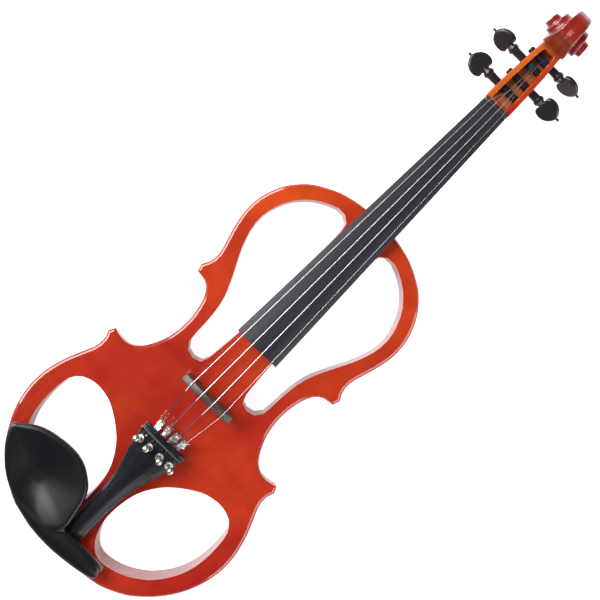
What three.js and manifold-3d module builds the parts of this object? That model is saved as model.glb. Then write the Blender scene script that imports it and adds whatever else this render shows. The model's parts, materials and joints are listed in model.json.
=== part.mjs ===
// Solid-body electric violin with a pierced body, lying on its back. Lengths are millimetres.
// X runs to the treble side, Y to the scroll and Z up through the strings.
// The origin is on the flat back of the body, on the centre line, under the bridge.
import * as THREE from "three";
import { mergeVertices } from "three/addons/utils/BufferGeometryUtils.js";
import Module from "manifold-3d";

// Clearances and overruns that every piece shares
const seatGap = 0.3;
const turnGap = 0.3;
const cutOverrun = 4;
const weldDistance = 0.0001;

// Body: one plank of hardwood, sawn to a violin's outline and pierced by four windows
const bodyThickness = 30;
const bodyEdgeRound = 1.4;
const bodyBackRound = 4;
const bodyBackRoundHeight = 17;
const bodyHeadY = 196;
const bodyTailY = -177.6;
const upperBout = 169;
const upperBoutY = 128;
const waist = 108.4;
const waistY = 27;
const lowerBout = 216.6;
const lowerBoutY = -91;
const upperCornerShare = 0.936;
const upperCornerY = 70;
const upperCornerCut = 1.9;
const upperCornerCutY = 64;
const lowerCornerShare = 0.8707;
const lowerCornerY = -20.5;
const lowerCornerCut = 2.7;
const lowerCornerCutY = -15.3;
const upperBand = 12.7;
const lowerBand = 16.4;
const upperWindowHeadY = 180.5;
const upperWindowTailY = 11.5;
const lowerWindowHeadY = -57.6;
const lowerWindowTailY = -158;
const tailRecessWidth = 36;
const tailRecessDepth = 4.5;

// Fingerboard: ebony, arched across, glued to the neck and free over the body
const boardLength = 270;
const boardNutWidth = 24;
const boardBodyWidth = 42;
const boardArchRadius = 42;
const boardEdgeThickness = 5;
const boardBodyEndY = 54;
const boardBottomAtBody = 46.4;
const boardBottomAtNut = 32;

// Nut: ebony block at the end of the fingerboard
const nutLength = 5;
const nutRise = 0.9;
const nutSideInset = 0.2;
const nutRound = 1.4;
const nutFall = 4.6;

// Neck, pegbox and scroll: one piece of maple, its heel let into the body
const heelTenonLength = 24;
const heelTenonWidth = 30;
const heelFloor = 6;
const heelFootZ = 2;
const heelShoulderGap = 0.3;
const neckGripY = 236;
const neckGripThickness = 14.5;
const neckNutThickness = 13;
const neckSideFlat = 2.5;
const pegboxNutWidth = 25.4;
const pegboxEndWidth = 20;
const pegboxWall = 4.7;
const pegboxHeadWall = 4.2;
const pegboxLength = 62.5;
const pegboxFloorWall = 4.2;
const pegboxEdgeRise = 1.2;
const pegboxEdgeDrop = 9;
const scrollEyeReach = 21;
const scrollEyeZ = 22.6;
const scrollRadius = 22.6;
const scrollEarWidth = 39.6;

// Pegs: ebony, tapered, one for each string
const pegReachShares = [0.256, 0.7264, 0.896, 0.4752];
const pegBelowEdge = 8;
const pegSmallRadius = 2.9;
const pegLargeRadius = 3.7;
const pegTipReaches = [12.6, 11.8, 13.4, 14.2];
const pegTipRound = 0.6;
const pegCollarX = 22;
const pegCollarRadius = 4.7;
const pegCollarLength = 3;
const pegNeckRadius = 2.9;
const pegHeadStart = 27.4;
const pegHeadLength = 17.2;
const pegHeadWidth = 20.2;
const pegHeadThickness = 4.6;
const pegHeadRound = 1.1;
const pegPipRadius = 1.4;
const pegPipLength = 3;
const pegTurns = [-4, -52, 66, 43];
const pegPulls = [0.8, 1.2, 4.2, 2.4];

// Strings: G, D, A and E, each from its ball in the tuner to its winding on the peg
const stringDiameters = [0.8, 0.76, 0.68, 0.3];
const stringWindPitches = [1.3, 1.26, 1.18, 0.95];
const stringWindStarts = [-0.6, -0.5, 0.5, 1];
const stringBridgeSpacing = 11.4;
const stringNutSpacing = 5.45;
const stringLift = 0.2;
const stringBallRadius = 1.3;
const stringBallLength = 3.2;

// Bridge: a thick ebony bar on two feet, with a pickup strip let into the body below it
const bridgeY = -1;
const bridgeThickness = 5.7;
const bridgeLength = 51;
const bridgeHeight = 35;
const bridgeArchRadius = 42;
const bridgeFootWidth = 15;
const bridgeFootHeight = 5;
const bridgeArchHeight = 13;
const bridgeEndLean = 2.5;
const pickupLength = 46;
const pickupWidth = 3.2;
const pickupDepth = 2;
const pickupLeadDiameter = 1.6;
const pickupLeadX = 19;
const pickupLeadRise = 2;

// Tailpiece: ebony, hollow-sided and ridged, with a raised fret and four keyhole slots
const tailpieceHeadY = -47;
const tailpieceTailY = -158;
const tailpieceHeadWidth = 42.6;
const tailpieceHeadZ = 47.2;
const tailpieceTailZ = 38.2;
const tailpieceEdgeThickness = 3;
const tailpieceRidge = 2.6;
const tailpieceHeadHollow = 1.6;
const fretFromHead = 5.5;
const fretWidth = 1.6;
const fretRise = 0.9;
const keyholeSlitWidth = 1.2;
const keyholeSlitLength = 7;

// Fine tuners: a post and frame under the tailpiece, a hooked lever, a screw and a collar nut
const tunerXs = [-14.6, -5, 5.4, 15];
const tunerY = -60;
const tunerLeans = [-17, -8, 11.5, 23];
const tunerYaws = [-7, -3, 3, 8];
const tunerTailLean = 11;
const tunerPostRadius = 2.3;
const tunerPostRise = 2.4;
const tunerScrewRadius = 1.1;
const tunerFrameWidth = 4.8;
const tunerFrameThickness = 1.4;
const tunerFrameTail = 3.4;
const tunerFrameReach = 15.4;
const tunerEarThickness = 0.8;
const tunerEarLength = 3.6;
const tunerEarDrop = 4.6;
const tunerPinRadius = 0.7;
const tunerPinBelow = 2.8;
const tunerPinFromFront = 1.8;
const tunerLeverThickness = 2.2;
const tunerTailArmHeight = 1.6;
const tunerTailArmGap = 1.3;
const tunerHookWidth = 5;
const tunerHookLength = 7.4;
const tunerHookHeight = 5.2;
const tunerHookRise = 0.4;
const tunerHookBar = 1.4;
const tunerHookGap = 0.8;
const tunerHookSlot = 1.7;
const tunerBallRoom = 0.35;
const tunerNutRadius = 3.4;
const tunerNutHeight = 1.9;
const tunerNeckLength = 5.2;
const tunerKnobRadius = 2.75;
const tunerKnobLength = 5.6;
const tunerKnobWaist = 1.7;
const tunerTipGap = 1;

// Saddle, end button and tail gut
const saddleWidth = 19;
const saddleLength = 6.4;
const saddleInset = 0.5;
const saddleSunk = 3;
const saddleRise = 6.4;
const saddleRound = 2.4;
const buttonPinRadius = 4;
const buttonPinLength = 16;
const buttonRimRadius = 6;
const buttonRimLength = 0.8;
const buttonNeckRadius = 4.4;
const buttonNeckLength = 2.9;
const buttonHeadRadius = 6.8;
const buttonHeadLength = 3.6;
const gutDiameter = 2;
const gutSpread = 9;
const gutHoleDepth = 7;

// Chin rest: ebony cup and arm on two cork-lined feet
const chinTopZ = 55;
const chinBottomZ = 46.4;
const chinCupLeft = -96.5;
const chinCupRight = -6.5;
const chinCupHeadY = -103;
const chinCupTailY = -174;
const chinDish = 7.4;
const chinBelly = 4.6;
const chinArmLeftX = -50;
const chinArmRightX = 38;
const chinArmHeadY = -153;
const chinArmTailY = -173.6;
const chinArmRound = 3;
const chinFootRound = 3;
const chinFootLeftX = -44;
const chinFootRightX = 24;
const chinFootWidth = 13.5;
const chinFootHeadY = -159.7;
const chinFootTailY = -168.6;
const chinCorkThickness = 2.2;
const chinCorkProud = 1.1;

// Chin rest clamp: a bracket with two studs, two barrels and a foot that hooks under the back
const clampStudX = 13;
const clampStudFromTail = 2.3;
const clampStudRadius = 1.2;
const clampPlateThickness = 1.5;
const clampBarWidth = 4;
const clampBarHeadY = -165.5;
const clampLegY = -168;
const clampTabLift = 0.9;
const clampFootReach = 8.5;
const clampBarrelRadius = 2.2;
const clampBarrelTopZ = 22;
const clampBarrelBottomZ = 6;
const clampStudBite = 5;
const clampCorkThickness = 1.8;
const clampBarrelHole = 0.7;

// Control bay: a cavity in the back, closed by a plate with a sunken well for the controls
const bayLeftX = -38;
const bayRightX = 38;
const bayTailY = -52;
const bayHeadY = 0;
const bayDepth = 20.6;
const bayRound = 5;
const plateFlange = 4.6;
const plateThickness = 2;
const wellLeftX = -6.4;
const wellRightX = 18.6;
const wellTailY = -50;
const wellHeadY = -2;
const wellDepth = 10.4;
const wellWall = 1.6;
const knobX = 5.6;
const volumeKnobY = -11;
const toneKnobY = -30;
const knobRadius = 6.8;
const knobHeight = 8.4;
const knobBelowFace = 0.9;
const knobRound = 0.8;
const potRadius = 7.6;
const potHeight = 6.6;
const potShaftRadius = 3;
const switchY = -44.2;
const switchBodyWidth = 12;
const switchBodyLength = 6;
const switchBodyHeight = 5;
const switchTravel = 3;
const switchButtonWidth = 3.4;
const switchButtonLength = 3;
const switchButtonRise = 2.6;
const boardX = 28.6;
const preampY = -33.5;
const preampWidth = 13.6;
const preampLength = 30;
const preampThickness = 1.6;
const preampZ = 13;
const preampPillarRadius = 2;
const preampPillarInset = 3;
const chipWidth = 6;
const chipLength = 9;
const chipHeight = 1.8;
const canRadius = 2.4;
const canHeight = 4.6;
const batteryX = -23.2;
const batteryY = -27.1;
const batteryWidth = 26.5;
const batteryLength = 46.4;
const batteryThickness = 17.5;
const batteryEdge = 1.5;
const batteryAboveDoor = 0.9;
const snapThickness = 2.6;
const snapWidth = 24;
const snapHeight = 11;
const doorSideGap = 0.4;
const doorWidth = 27.8;
const doorLength = 49.2;
const doorY = -26;
const doorThickness = 1.8;
const doorPinRadius = 0.9;
const doorPinLength = 2;
const plateScrewRadius = 1.2;
const plateScrewHeadRadius = 2.1;
const plateScrewHeadHeight = 1.4;
const plateScrewLength = 8;
const plateScrewOut = 0.6;

// Sockets in the waist: a 6.35 mm output jack and a 3.5 mm headphone jack
const jackY = -8;
const jackZ = 15;
const outputBoreRadius = 3.25;
const outputBoreDepth = 32;
const outputBarrelRadius = 5.6;
const outputBarrelLength = 35;
const outputFlangeRadius = 8.5;
const headphoneBoreRadius = 1.8;
const headphoneBoreDepth = 14;
const headphoneBarrelRadius = 3.6;
const headphoneBarrelLength = 18;
const headphoneFlangeRadius = 5.6;
const jackFlangeThickness = 1.8;
const jackSeatX = 57.6;

// How finely curves are faceted
const outlineSteps = [32, 13, 36];
const windowSteps = 52;
const roundSides = 12;
const fineSides = 10;
const windingSteps = 24;
const windingSides = 6;

const wasm = await Module();
wasm.setup();

// A closed three.js geometry as a solid that can be cut and joined
function solid(geometry) {
  const bare = new THREE.BufferGeometry();
  bare.setAttribute("position", geometry.getAttribute("position"));
  if (geometry.index) bare.setIndex(geometry.index);
  const merged = mergeVertices(bare, weldDistance);
  const mesh = new wasm.Mesh({
    numProp: 3,
    vertProperties: merged.attributes.position.array,
    triVerts: new Uint32Array(merged.index.array),
  });
  return new wasm.Manifold(mesh);
}

function geometryOf(made) {
  const mesh = made.getMesh();
  const geometry = new THREE.BufferGeometry();
  geometry.setAttribute("position", new THREE.BufferAttribute(mesh.vertProperties, 3));
  geometry.setIndex(new THREE.BufferAttribute(mesh.triVerts, 1));
  const faceted = geometry.toNonIndexed();
  faceted.computeVertexNormals();
  return faceted;
}

function join(first, ...others) {
  let made = solid(first);
  for (const other of others) made = made.add(solid(other));
  return geometryOf(made);
}

function cut(first, ...tools) {
  let made = solid(first);
  for (const tool of tools) made = made.subtract(solid(tool));
  return geometryOf(made);
}

function common(first, second) {
  return geometryOf(solid(first).intersect(solid(second)));
}

const group = new THREE.Group();

function add(name, geometry, material, parent = group) {
  const mesh = new THREE.Mesh(geometry, material);
  mesh.name = name;
  parent.add(mesh);
  return mesh;
}

function finish(color, roughness, metalness = 0) {
  return new THREE.MeshStandardMaterial({ color, roughness, metalness });
}

const redLacquer = finish(0xc8321e, 0.18);
const orangeLacquer = finish(0xd8521c, 0.25);
const ebony = finish(0x26232a, 0.42);
const boxwoodBlack = finish(0x2b2627, 0.5);
const darkRosewood = finish(0x4a3a36, 0.55);
const nickel = finish(0xc9c6bf, 0.25, 1);
const steelString = finish(0xb9b4ae, 0.3, 1);
const blackNylon = finish(0x17171a, 0.4);
const cork = finish(0xc9a27a, 0.9);
const blackPlastic = finish(0x1c1c1e, 0.55);
const boardGreen = finish(0x1f5a34, 0.5);
const batteryCase = finish(0x30343c, 0.45);
const brass = finish(0xb98d3f, 0.35, 1);

function block(x0, x1, y0, y1, z0, z1) {
  const geometry = new THREE.BoxGeometry(x1 - x0, y1 - y0, z1 - z0);
  return geometry.translate((x0 + x1) / 2, (y0 + y1) / 2, (z0 + z1) / 2);
}

// A flat outline in X and Y, raised from z0 to z1
function plate(outline, z0, z1) {
  const options = { depth: z1 - z0, bevelEnabled: false };
  return new THREE.ExtrudeGeometry(new THREE.Shape(outline), options).translate(0, 0, z0);
}

// An outline raised from z0 to z1, its top and bottom edges rounded inward
function rounded(shape, z0, z1, inset, height, segments) {
  const geometry = new THREE.ExtrudeGeometry(shape, {
    depth: z1 - z0 - height * 2,
    bevelEnabled: true,
    bevelThickness: height,
    bevelSize: inset,
    bevelOffset: -inset,
    bevelSegments: segments,
  });
  return geometry.translate(0, 0, z0 + height);
}

// A side view in Y and Z, drawn out along X
function slab(outline, x0, x1) {
  const across = new THREE.Matrix4().makeBasis(
    new THREE.Vector3(0, 1, 0),
    new THREE.Vector3(0, 0, 1),
    new THREE.Vector3(1, 0, 0),
  );
  return plate(outline, x0, x1).applyMatrix4(across);
}

// A front view in X and Z, drawn out along Y
function wedge(outline, y0, y1) {
  const along = new THREE.Matrix4().makeBasis(
    new THREE.Vector3(1, 0, 0),
    new THREE.Vector3(0, 0, 1),
    new THREE.Vector3(0, -1, 0),
  );
  return plate(outline, -y1, -y0).applyMatrix4(along);
}

function point(x, y) {
  return new THREE.Vector2(x, y);
}

function rectangle(x0, x1, y0, y1, radius) {
  const shape = new THREE.Shape();
  shape.moveTo(x0 + radius, y0);
  shape.lineTo(x1 - radius, y0);
  shape.absarc(x1 - radius, y0 + radius, radius, -Math.PI / 2, 0);
  shape.absarc(x1 - radius, y1 - radius, radius, 0, Math.PI / 2);
  shape.absarc(x0 + radius, y1 - radius, radius, Math.PI / 2, Math.PI);
  shape.absarc(x0 + radius, y0 + radius, radius, Math.PI, Math.PI * 1.5);
  return shape.getPoints(3).slice(0, -1);
}

// A solid of revolution about Z, from a profile of radius and height that goes up
function turned(profile, sides = roundSides) {
  const points = profile.map(([radius, height]) => point(radius, height));
  return new THREE.LatheGeometry(points, sides).rotateX(Math.PI / 2);
}

function rod(radius, z0, z1, sides = roundSides) {
  return turned([[0, z0], [radius, z0], [radius, z1], [0, z1]], sides);
}

// A turned piece laid along X or along Y, its profile's height running the same way
function alongX(geometry) {
  return geometry.rotateY(Math.PI / 2);
}

function alongY(geometry) {
  return geometry.rotateX(-Math.PI / 2);
}

// A closed skin over rings of points that run anticlockwise about their line of travel
function skin(rings) {
  const places = [];
  const faces = [];
  const count = rings[0].length;
  for (const ring of rings) ring.forEach((place) => places.push(...place));
  const ends = [rings[0], rings[rings.length - 1]].map((ring) => middleOf(ring));
  for (const end of ends) places.push(...end);
  const hubIndex = rings.length * count;
  const lastRing = (rings.length - 1) * count;
  for (let i = 0; i < count; i++) {
    const next = (i + 1) % count;
    for (let r = 0; r < rings.length - 1; r++) {
      const here = r * count;
      faces.push(here + i, here + next, here + count + next);
      faces.push(here + i, here + count + next, here + count + i);
    }
    faces.push(hubIndex, next, i);
    faces.push(hubIndex + 1, lastRing + i, lastRing + next);
  }
  const geometry = new THREE.BufferGeometry();
  geometry.setAttribute("position", new THREE.Float32BufferAttribute(places, 3));
  geometry.setIndex(faces);
  return geometryOf(solid(geometry));
}

function middleOf(ring) {
  return [0, 1, 2].map((axis) => ring.reduce((sum, place) => sum + place[axis], 0) / ring.length);
}

// A round tube through a list of points, its ends cut square
function tube(path, radius, sides) {
  const rings = [];
  let side = new THREE.Vector3(1, 0, 0);
  const first = path[1].clone().sub(path[0]).normalize();
  if (Math.abs(first.x) > Math.SQRT1_2) side.set(0, 0, 1);
  path.forEach((place, i) => {
    const back = path[Math.max(i - 1, 0)];
    const onward = path[Math.min(i + 1, path.length - 1)];
    const travel = onward.clone().sub(place).normalize();
    travel.add(place.clone().sub(back).normalize()).normalize();
    side = side.clone().addScaledVector(travel, -side.dot(travel)).normalize();
    const up = new THREE.Vector3().crossVectors(travel, side);
    const ring = [];
    for (let s = 0; s < sides; s++) {
      const angle = (s / sides) * Math.PI * 2;
      const spot = place.clone().addScaledVector(side, radius * Math.cos(angle));
      ring.push(spot.addScaledVector(up, radius * Math.sin(angle)).toArray());
    }
    rings.push(ring);
  });
  return skin(rings);
}

function mirrored(points) {
  return points.map((p) => point(-p.x, p.y)).reverse();
}

function spreadAlong(points, steps) {
  return new THREE.SplineCurve(points).getSpacedPoints(steps);
}

function closedCurve(points, steps) {
  const places = points.map((p) => new THREE.Vector3(p.x, p.y, 0));
  const loop = new THREE.CatmullRomCurve3(places, true, "catmullrom");
  return loop.getSpacedPoints(steps).slice(0, -1).map((p) => point(p.x, p.y));
}

function mix(start, end, share) {
  return start + (end - start) * share;
}

// Each row is a share of the bout's half width and a share of the way down the stretch
const shoulderShares = [
  [0, 0], [0.19, 0.007], [0.4, 0.059], [0.53, 0.118], [0.7, 0.235], [0.806, 0.353],
  [0.91, 0.529], [0.982, 0.765], [1, 1],
];
const upperFlankShares = [
  [0.98, 0.207], [0.957, 0.345], [0.929, 0.483], [0.9, 0.62], [0.885, 0.72],
  [0.884, 0.8], [0.898, 0.897],
];
const waistHeadShares = [
  [1, 0], [0.71, 0.027], [0.545, 0.054], [0.416, 0.108], [0.303, 0.189], [0.19, 0.324],
  [0.113, 0.459], [0.039, 0.676], [0.004, 0.865],
];
const waistTailShares = [
  [0, 0], [0.005, 0.118], [0.021, 0.236], [0.045, 0.355], [0.08, 0.473], [0.133, 0.591],
  [0.2, 0.715], [0.29, 0.85], [0.4, 0.955], [0.52, 1.025], [0.66, 1.056], [0.82, 1.045],
  [1, 1],
];
const lowerFlankShares = [
  [0.867, 0.021], [0.854, 0.064], [0.845, 0.135], [0.853, 0.206], [0.867, 0.277],
  [0.908, 0.418], [0.946, 0.56], [0.974, 0.702], [0.993, 0.844],
];
const tailShares = [
  [1, 0], [0.994, 0.104], [0.976, 0.219], [0.946, 0.335], [0.903, 0.45], [0.844, 0.566],
  [0.767, 0.681], [0.666, 0.797], [0.597, 0.855], [0.504, 0.912], [0.397, 0.958],
  [0.185, 0.99], [0, 1],
];

const upperCornerX = (upperBout / 2) * upperCornerShare;
const lowerCornerX = (lowerBout / 2) * lowerCornerShare;

function stretch(shares, x0, x1, y0, y1) {
  return shares.map(([across, down]) => point(mix(x0, x1, across), mix(y0, y1, down)));
}

// The treble half of the body's outline, from the neck round to the tail
function halfOutline() {
  const upperHalf = upperBout / 2;
  const lowerHalf = lowerBout / 2;
  const waistHalf = waist / 2;
  const upperCutX = upperCornerX - upperCornerCut;
  const lowerCutX = lowerCornerX - lowerCornerCut;
  const upper = [
    ...stretch(shoulderShares, 0, upperHalf, bodyHeadY, upperBoutY),
    ...stretch(upperFlankShares, 0, upperHalf, upperBoutY, upperCornerY),
    point(upperCornerX, upperCornerY),
  ];
  const middle = [
    ...stretch(waistHeadShares, waistHalf, upperCutX, upperCornerCutY, waistY),
    ...stretch(waistTailShares, waistHalf, lowerCutX, waistY, lowerCornerCutY),
  ];
  const lower = [
    point(lowerCornerX, lowerCornerY),
    ...stretch(lowerFlankShares, 0, lowerHalf, lowerCornerY, lowerBoutY),
    ...stretch(tailShares, 0, lowerHalf, lowerBoutY, bodyTailY),
  ];
  const [upperSteps, middleSteps, lowerSteps] = outlineSteps;
  return [
    ...spreadAlong(upper, upperSteps),
    ...spreadAlong(middle, middleSteps * 2),
    ...spreadAlong(lower, lowerSteps),
  ];
}

// Each row is a share of the window's reach from the centre line and of its length
const upperWindowShares = [
  [0.425, 0], [0.515, 0.008], [0.568, 0.03], [0.592, 0.062], [0.599, 0.139], [0.61, 0.21],
  [0.641, 0.287], [0.688, 0.346], [0.752, 0.405], [0.823, 0.464], [0.893, 0.524],
  [0.948, 0.583], [0.986, 0.642], [1, 0.701], [0.981, 0.76], [0.932, 0.82],
  [0.854, 0.879], [0.72, 0.938], [0.614, 0.967], [0.501, 0.99], [0.404, 1],
  [0.306, 0.988], [0.25, 0.95], [0.244, 0.82], [0.244, 0.67], [0.248, 0.524], [0.252, 0.37],
  [0.259, 0.228], [0.276, 0.139], [0.297, 0.05], [0.329, 0.015], [0.373, 0.003],
];
const lowerWindowShares = [
  [0.729, 0], [0.816, 0.008], [0.887, 0.03], [0.943, 0.074], [0.977, 0.128],
  [0.993, 0.203], [1, 0.313], [0.995, 0.422], [0.976, 0.522], [0.938, 0.622],
  [0.878, 0.721], [0.791, 0.821], [0.729, 0.87], [0.642, 0.923], [0.536, 0.968],
  [0.435, 0.993], [0.348, 1], [0.288, 0.986], [0.244, 0.96], [0.201, 0.915],
  [0.172, 0.87], [0.145, 0.811], [0.125, 0.731], [0.121, 0.641], [0.133, 0.532],
  [0.16, 0.422], [0.21, 0.323], [0.287, 0.223], [0.343, 0.173], [0.409, 0.124],
  [0.489, 0.074], [0.594, 0.024],
];

function upperWindow() {
  const reach = upperBout / 2 - upperBand;
  const points = stretch(upperWindowShares, 0, reach, upperWindowTailY, upperWindowHeadY);
  return closedCurve(points, windowSteps);
}

function lowerWindow() {
  const reach = lowerBout / 2 - lowerBand;
  const points = stretch(lowerWindowShares, 0, reach, lowerWindowHeadY, lowerWindowTailY);
  return closedCurve(points, windowSteps);
}

function boardBottom(y) {
  return mix(boardBottomAtBody, boardBottomAtNut, (y - boardBodyEndY) / boardLength);
}

function boardHalfWidth(y) {
  return mix(boardBodyWidth, boardNutWidth, (y - boardBodyEndY) / boardLength) / 2;
}

function archDrop(x, radius) {
  return radius - Math.sqrt(radius * radius - x * x);
}

function boardCrown(y) {
  return boardBottom(y) + boardEdgeThickness + archDrop(boardHalfWidth(y), boardArchRadius);
}

const nutY = boardBodyEndY + boardLength;
const nutEndY = nutY + seatGap + nutLength;
const pegboxEndY = nutEndY + pegboxLength;
const scrollEyeY = pegboxEndY + scrollEyeReach;
const pegYs = pegReachShares.map((share) => nutEndY + pegboxLength * share);
const tenonStartY = bodyHeadY - heelTenonLength;
const tailEdgeY = bodyTailY + tailRecessDepth;
const clampStudY = tailEdgeY - clampStudFromTail;

// The heel's socket in the body, sized from the heel's tenon
function heelSocket() {
  const half = heelTenonWidth / 2 + seatGap;
  const floor = heelFloor - seatGap;
  const start = tenonStartY - seatGap;
  return block(-half, half, start, bodyHeadY + cutOverrun, floor, bodyThickness + cutOverrun);
}

function saddleNotch() {
  const half = saddleWidth / 2 + seatGap;
  const start = tailEdgeY + saddleInset + saddleLength + seatGap;
  const floor = bodyThickness - saddleSunk - seatGap;
  return block(-half, half, tailEdgeY - cutOverrun, start, floor, bodyThickness + cutOverrun);
}

// A flat recess across the tail's edge, which takes the button and the chin rest's clamp
function tailRecess() {
  const half = tailRecessWidth / 2;
  const outside = bodyTailY - cutOverrun;
  return block(-half, half, outside, tailEdgeY, -cutOverrun, bodyThickness + cutOverrun);
}

function controlBay() {
  const bay = rectangle(bayLeftX, bayRightX, bayTailY, bayHeadY, bayRound);
  const rebate = plateOutline(seatGap);
  return [
    plate(bay, -cutOverrun, bayDepth),
    plate(rebate, -cutOverrun, plateThickness + seatGap),
  ];
}

function plateOutline(gap) {
  const reach = plateFlange + gap;
  const x0 = bayLeftX - reach;
  const x1 = bayRightX + reach;
  return rectangle(x0, x1, bayTailY - reach, bayHeadY + reach, bayRound);
}

// The four corners of the plate where its screws go
function plateScrewPlaces() {
  const out = plateScrewOut;
  const ys = [bayTailY - out, bayHeadY + out];
  const xs = [bayLeftX - out, bayRightX + out];
  return xs.flatMap((x) => ys.map((y) => [x, y]));
}

function plateScrewHoles() {
  const radius = plateScrewRadius + seatGap;
  const top = plateScrewLength + seatGap;
  return plateScrewPlaces().map(([x, y]) => rod(radius, -cutOverrun, top, fineSides).translate(x, y, 0));
}

// A stepped hole from the waist into the control bay, for one jack
function jackHole(side, barrelRadius, flangeRadius, bayEdge) {
  const waistOut = lowerCornerX;
  const seat = jackSeatX - jackFlangeThickness - seatGap;
  const inner = Math.abs(bayEdge) - cutOverrun;
  const gap = barrelRadius + seatGap;
  const wide = flangeRadius + seatGap;
  const profile = [[0, inner], [gap, inner], [gap, seat], [wide, seat], [wide, waistOut], [0, waistOut]];
  const hole = alongX(turned(profile, roundSides));
  if (side < 0) hole.rotateZ(Math.PI);
  return hole.translate(0, jackY, jackZ);
}

function pickupSlot() {
  const half = pickupLength / 2 + seatGap;
  const wide = pickupWidth / 2 + seatGap;
  const floor = bodyThickness - pickupDepth - seatGap;
  const slot = block(-half, half, bridgeY - wide, bridgeY + wide, floor, bodyThickness + cutOverrun);
  const lead = rod(pickupLeadDiameter / 2 + seatGap, bayDepth - cutOverrun, bodyThickness, fineSides);
  return [slot, lead.translate(pickupLeadX, bridgeY - pickupWidth / 2, 0)];
}

function buttonHole() {
  const radius = buttonPinRadius + seatGap;
  const depth = tailEdgeY + buttonPinLength + seatGap;
  const hole = alongY(rod(radius, tailEdgeY - cutOverrun, depth));
  return hole.translate(0, 0, bodyThickness / 2);
}

function bodyGeometry() {
  const half = halfOutline();
  const outline = [...half, ...mirrored(half)];
  const shape = new THREE.Shape(outline.filter((p, i) => p.distanceTo(outline.at(i - 1)) > weldDistance));
  const sawn = [upperWindow(), lowerWindow()].flatMap((points) => [points, mirrored(points)]);
  const windows = sawn.map((points) => plate(points, -cutOverrun, bodyThickness + cutOverrun));
  const plank = common(
    rounded(shape, -bodyThickness, bodyThickness, bodyEdgeRound, bodyEdgeRound, 1),
    rounded(shape, 0, bodyThickness * 3, bodyBackRound, bodyBackRoundHeight, 2),
  );
  return cut(
    plank,
    ...windows,
    heelSocket(),
    tailRecess(),
    saddleNotch(),
    buttonHole(),
    ...controlBay(),
    ...plateScrewHoles(),
    ...pickupSlot(),
    jackHole(1, outputBarrelRadius, outputFlangeRadius, bayRightX),
    jackHole(-1, headphoneBarrelRadius, headphoneFlangeRadius, bayLeftX),
  );
}

function fingerboardGeometry() {
  const archPoints = 8;
  const rings = [boardBodyEndY, nutY].map((y) => {
    const half = boardHalfWidth(y);
    const ring = [[-half, y, boardBottom(y)]];
    for (let i = 0; i <= archPoints; i++) {
      const x = mix(-half, half, i / archPoints);
      ring.push([x, y, boardCrown(y) - archDrop(x, boardArchRadius)]);
    }
    ring.push([half, y, boardBottom(y)]);
    return ring;
  });
  return skin(rings);
}

function nutTop() {
  return boardCrown(nutY) + nutRise;
}

function nutGeometry() {
  const y0 = nutY + seatGap;
  const y1 = nutEndY;
  const low = boardBottom(nutY) + seatGap;
  const side = [
    point(y0, low),
    point(y1, low),
    point(y1, nutTop() - nutFall),
    point(y0 + nutRound / 2, nutTop()),
    point(y0, nutTop()),
  ];
  const half = boardNutWidth / 2 - nutSideInset;
  const archSteps = 8;
  const front = [point(-half, low), point(half, low)];
  for (let i = archSteps; i >= 0; i--) {
    const x = mix(-half, half, i / archSteps);
    front.push(point(x, nutTop() - archDrop(x, boardArchRadius)));
  }
  const overrun = nutLength;
  return common(slab(side, -half, half), wedge(front, y0 - overrun, y1 + overrun));
}

// Each row is a share of the way from the heel to the grip and of the heel's rise to the grip
const heelCurveShares = [[0, 0], [0.18, 0.03], [0.38, 0.22], [0.58, 0.55], [0.78, 0.84], [1, 1]];

function neckBottomPlaces() {
  const gripZ = boardBottom(neckGripY) - neckGripThickness;
  const nutZ = boardBottom(nutY) - neckNutThickness;
  const start = bodyHeadY + heelShoulderGap;
  const heel = heelCurveShares.map(([along, rise]) => [
    mix(start, neckGripY, along),
    mix(heelFootZ, gripZ, rise),
  ]);
  return [...heel, [mix(neckGripY, nutY, 1 / 2), mix(gripZ, nutZ, 1 / 2)], [nutEndY, nutZ]];
}

function neckShaft() {
  const roundPoints = 8;
  const rings = neckBottomPlaces().map(([y, bottom]) => {
    const half = Math.max(boardHalfWidth(y), boardNutWidth / 2);
    const top = boardBottom(y) - seatGap;
    const shoulder = top - neckSideFlat;
    const ring = [[-half, y, top], [half, y, top]];
    for (let i = 0; i <= roundPoints; i++) {
      const angle = (i / roundPoints) * Math.PI;
      ring.push([half * Math.cos(angle), y, shoulder - (shoulder - bottom) * Math.sin(angle)]);
    }
    return ring;
  });
  return skin(rings);
}

function neckTenon() {
  const half = heelTenonWidth / 2;
  const start = tenonStartY;
  const end = bodyHeadY + heelShoulderGap * 2;
  const side = [
    point(start, heelFloor),
    point(end, heelFloor),
    point(end, boardBottom(end) - seatGap),
    point(start, boardBottom(start) - seatGap),
  ];
  return slab(side, -half, half);
}

function pegboxEdge(y) {
  const start = boardBottom(nutY) + pegboxEdgeRise;
  return start - (pegboxEdgeDrop * (y - nutEndY)) / (pegboxEndY - nutEndY);
}

// Each row is a share of the way from the nut to the eye and of the drop to the throat's back
const pegboxBackShares = [
  [0, 0], [0.07, 0.08], [0.24, 0.31], [0.4, 0.52], [0.57, 0.69], [0.74, 0.82], [0.88, 0.93], [1, 1],
];

function pegboxBack() {
  const startZ = boardBottom(nutY) - neckNutThickness;
  const endZ = scrollEyeZ - scrollRadius * volute(0).radiusShare;
  return pegboxBackShares.map(([along, drop]) =>
    point(mix(nutY, scrollEyeY, along), mix(startZ, endZ, drop)),
  );
}

function pegboxFloor(y) {
  const back = pegboxBack();
  const after = back.findIndex((p) => p.x >= y);
  const share = (y - back[after - 1].x) / (back[after].x - back[after - 1].x);
  return mix(back[after - 1].y, back[after].y, share) + pegboxFloorWall;
}

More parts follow.
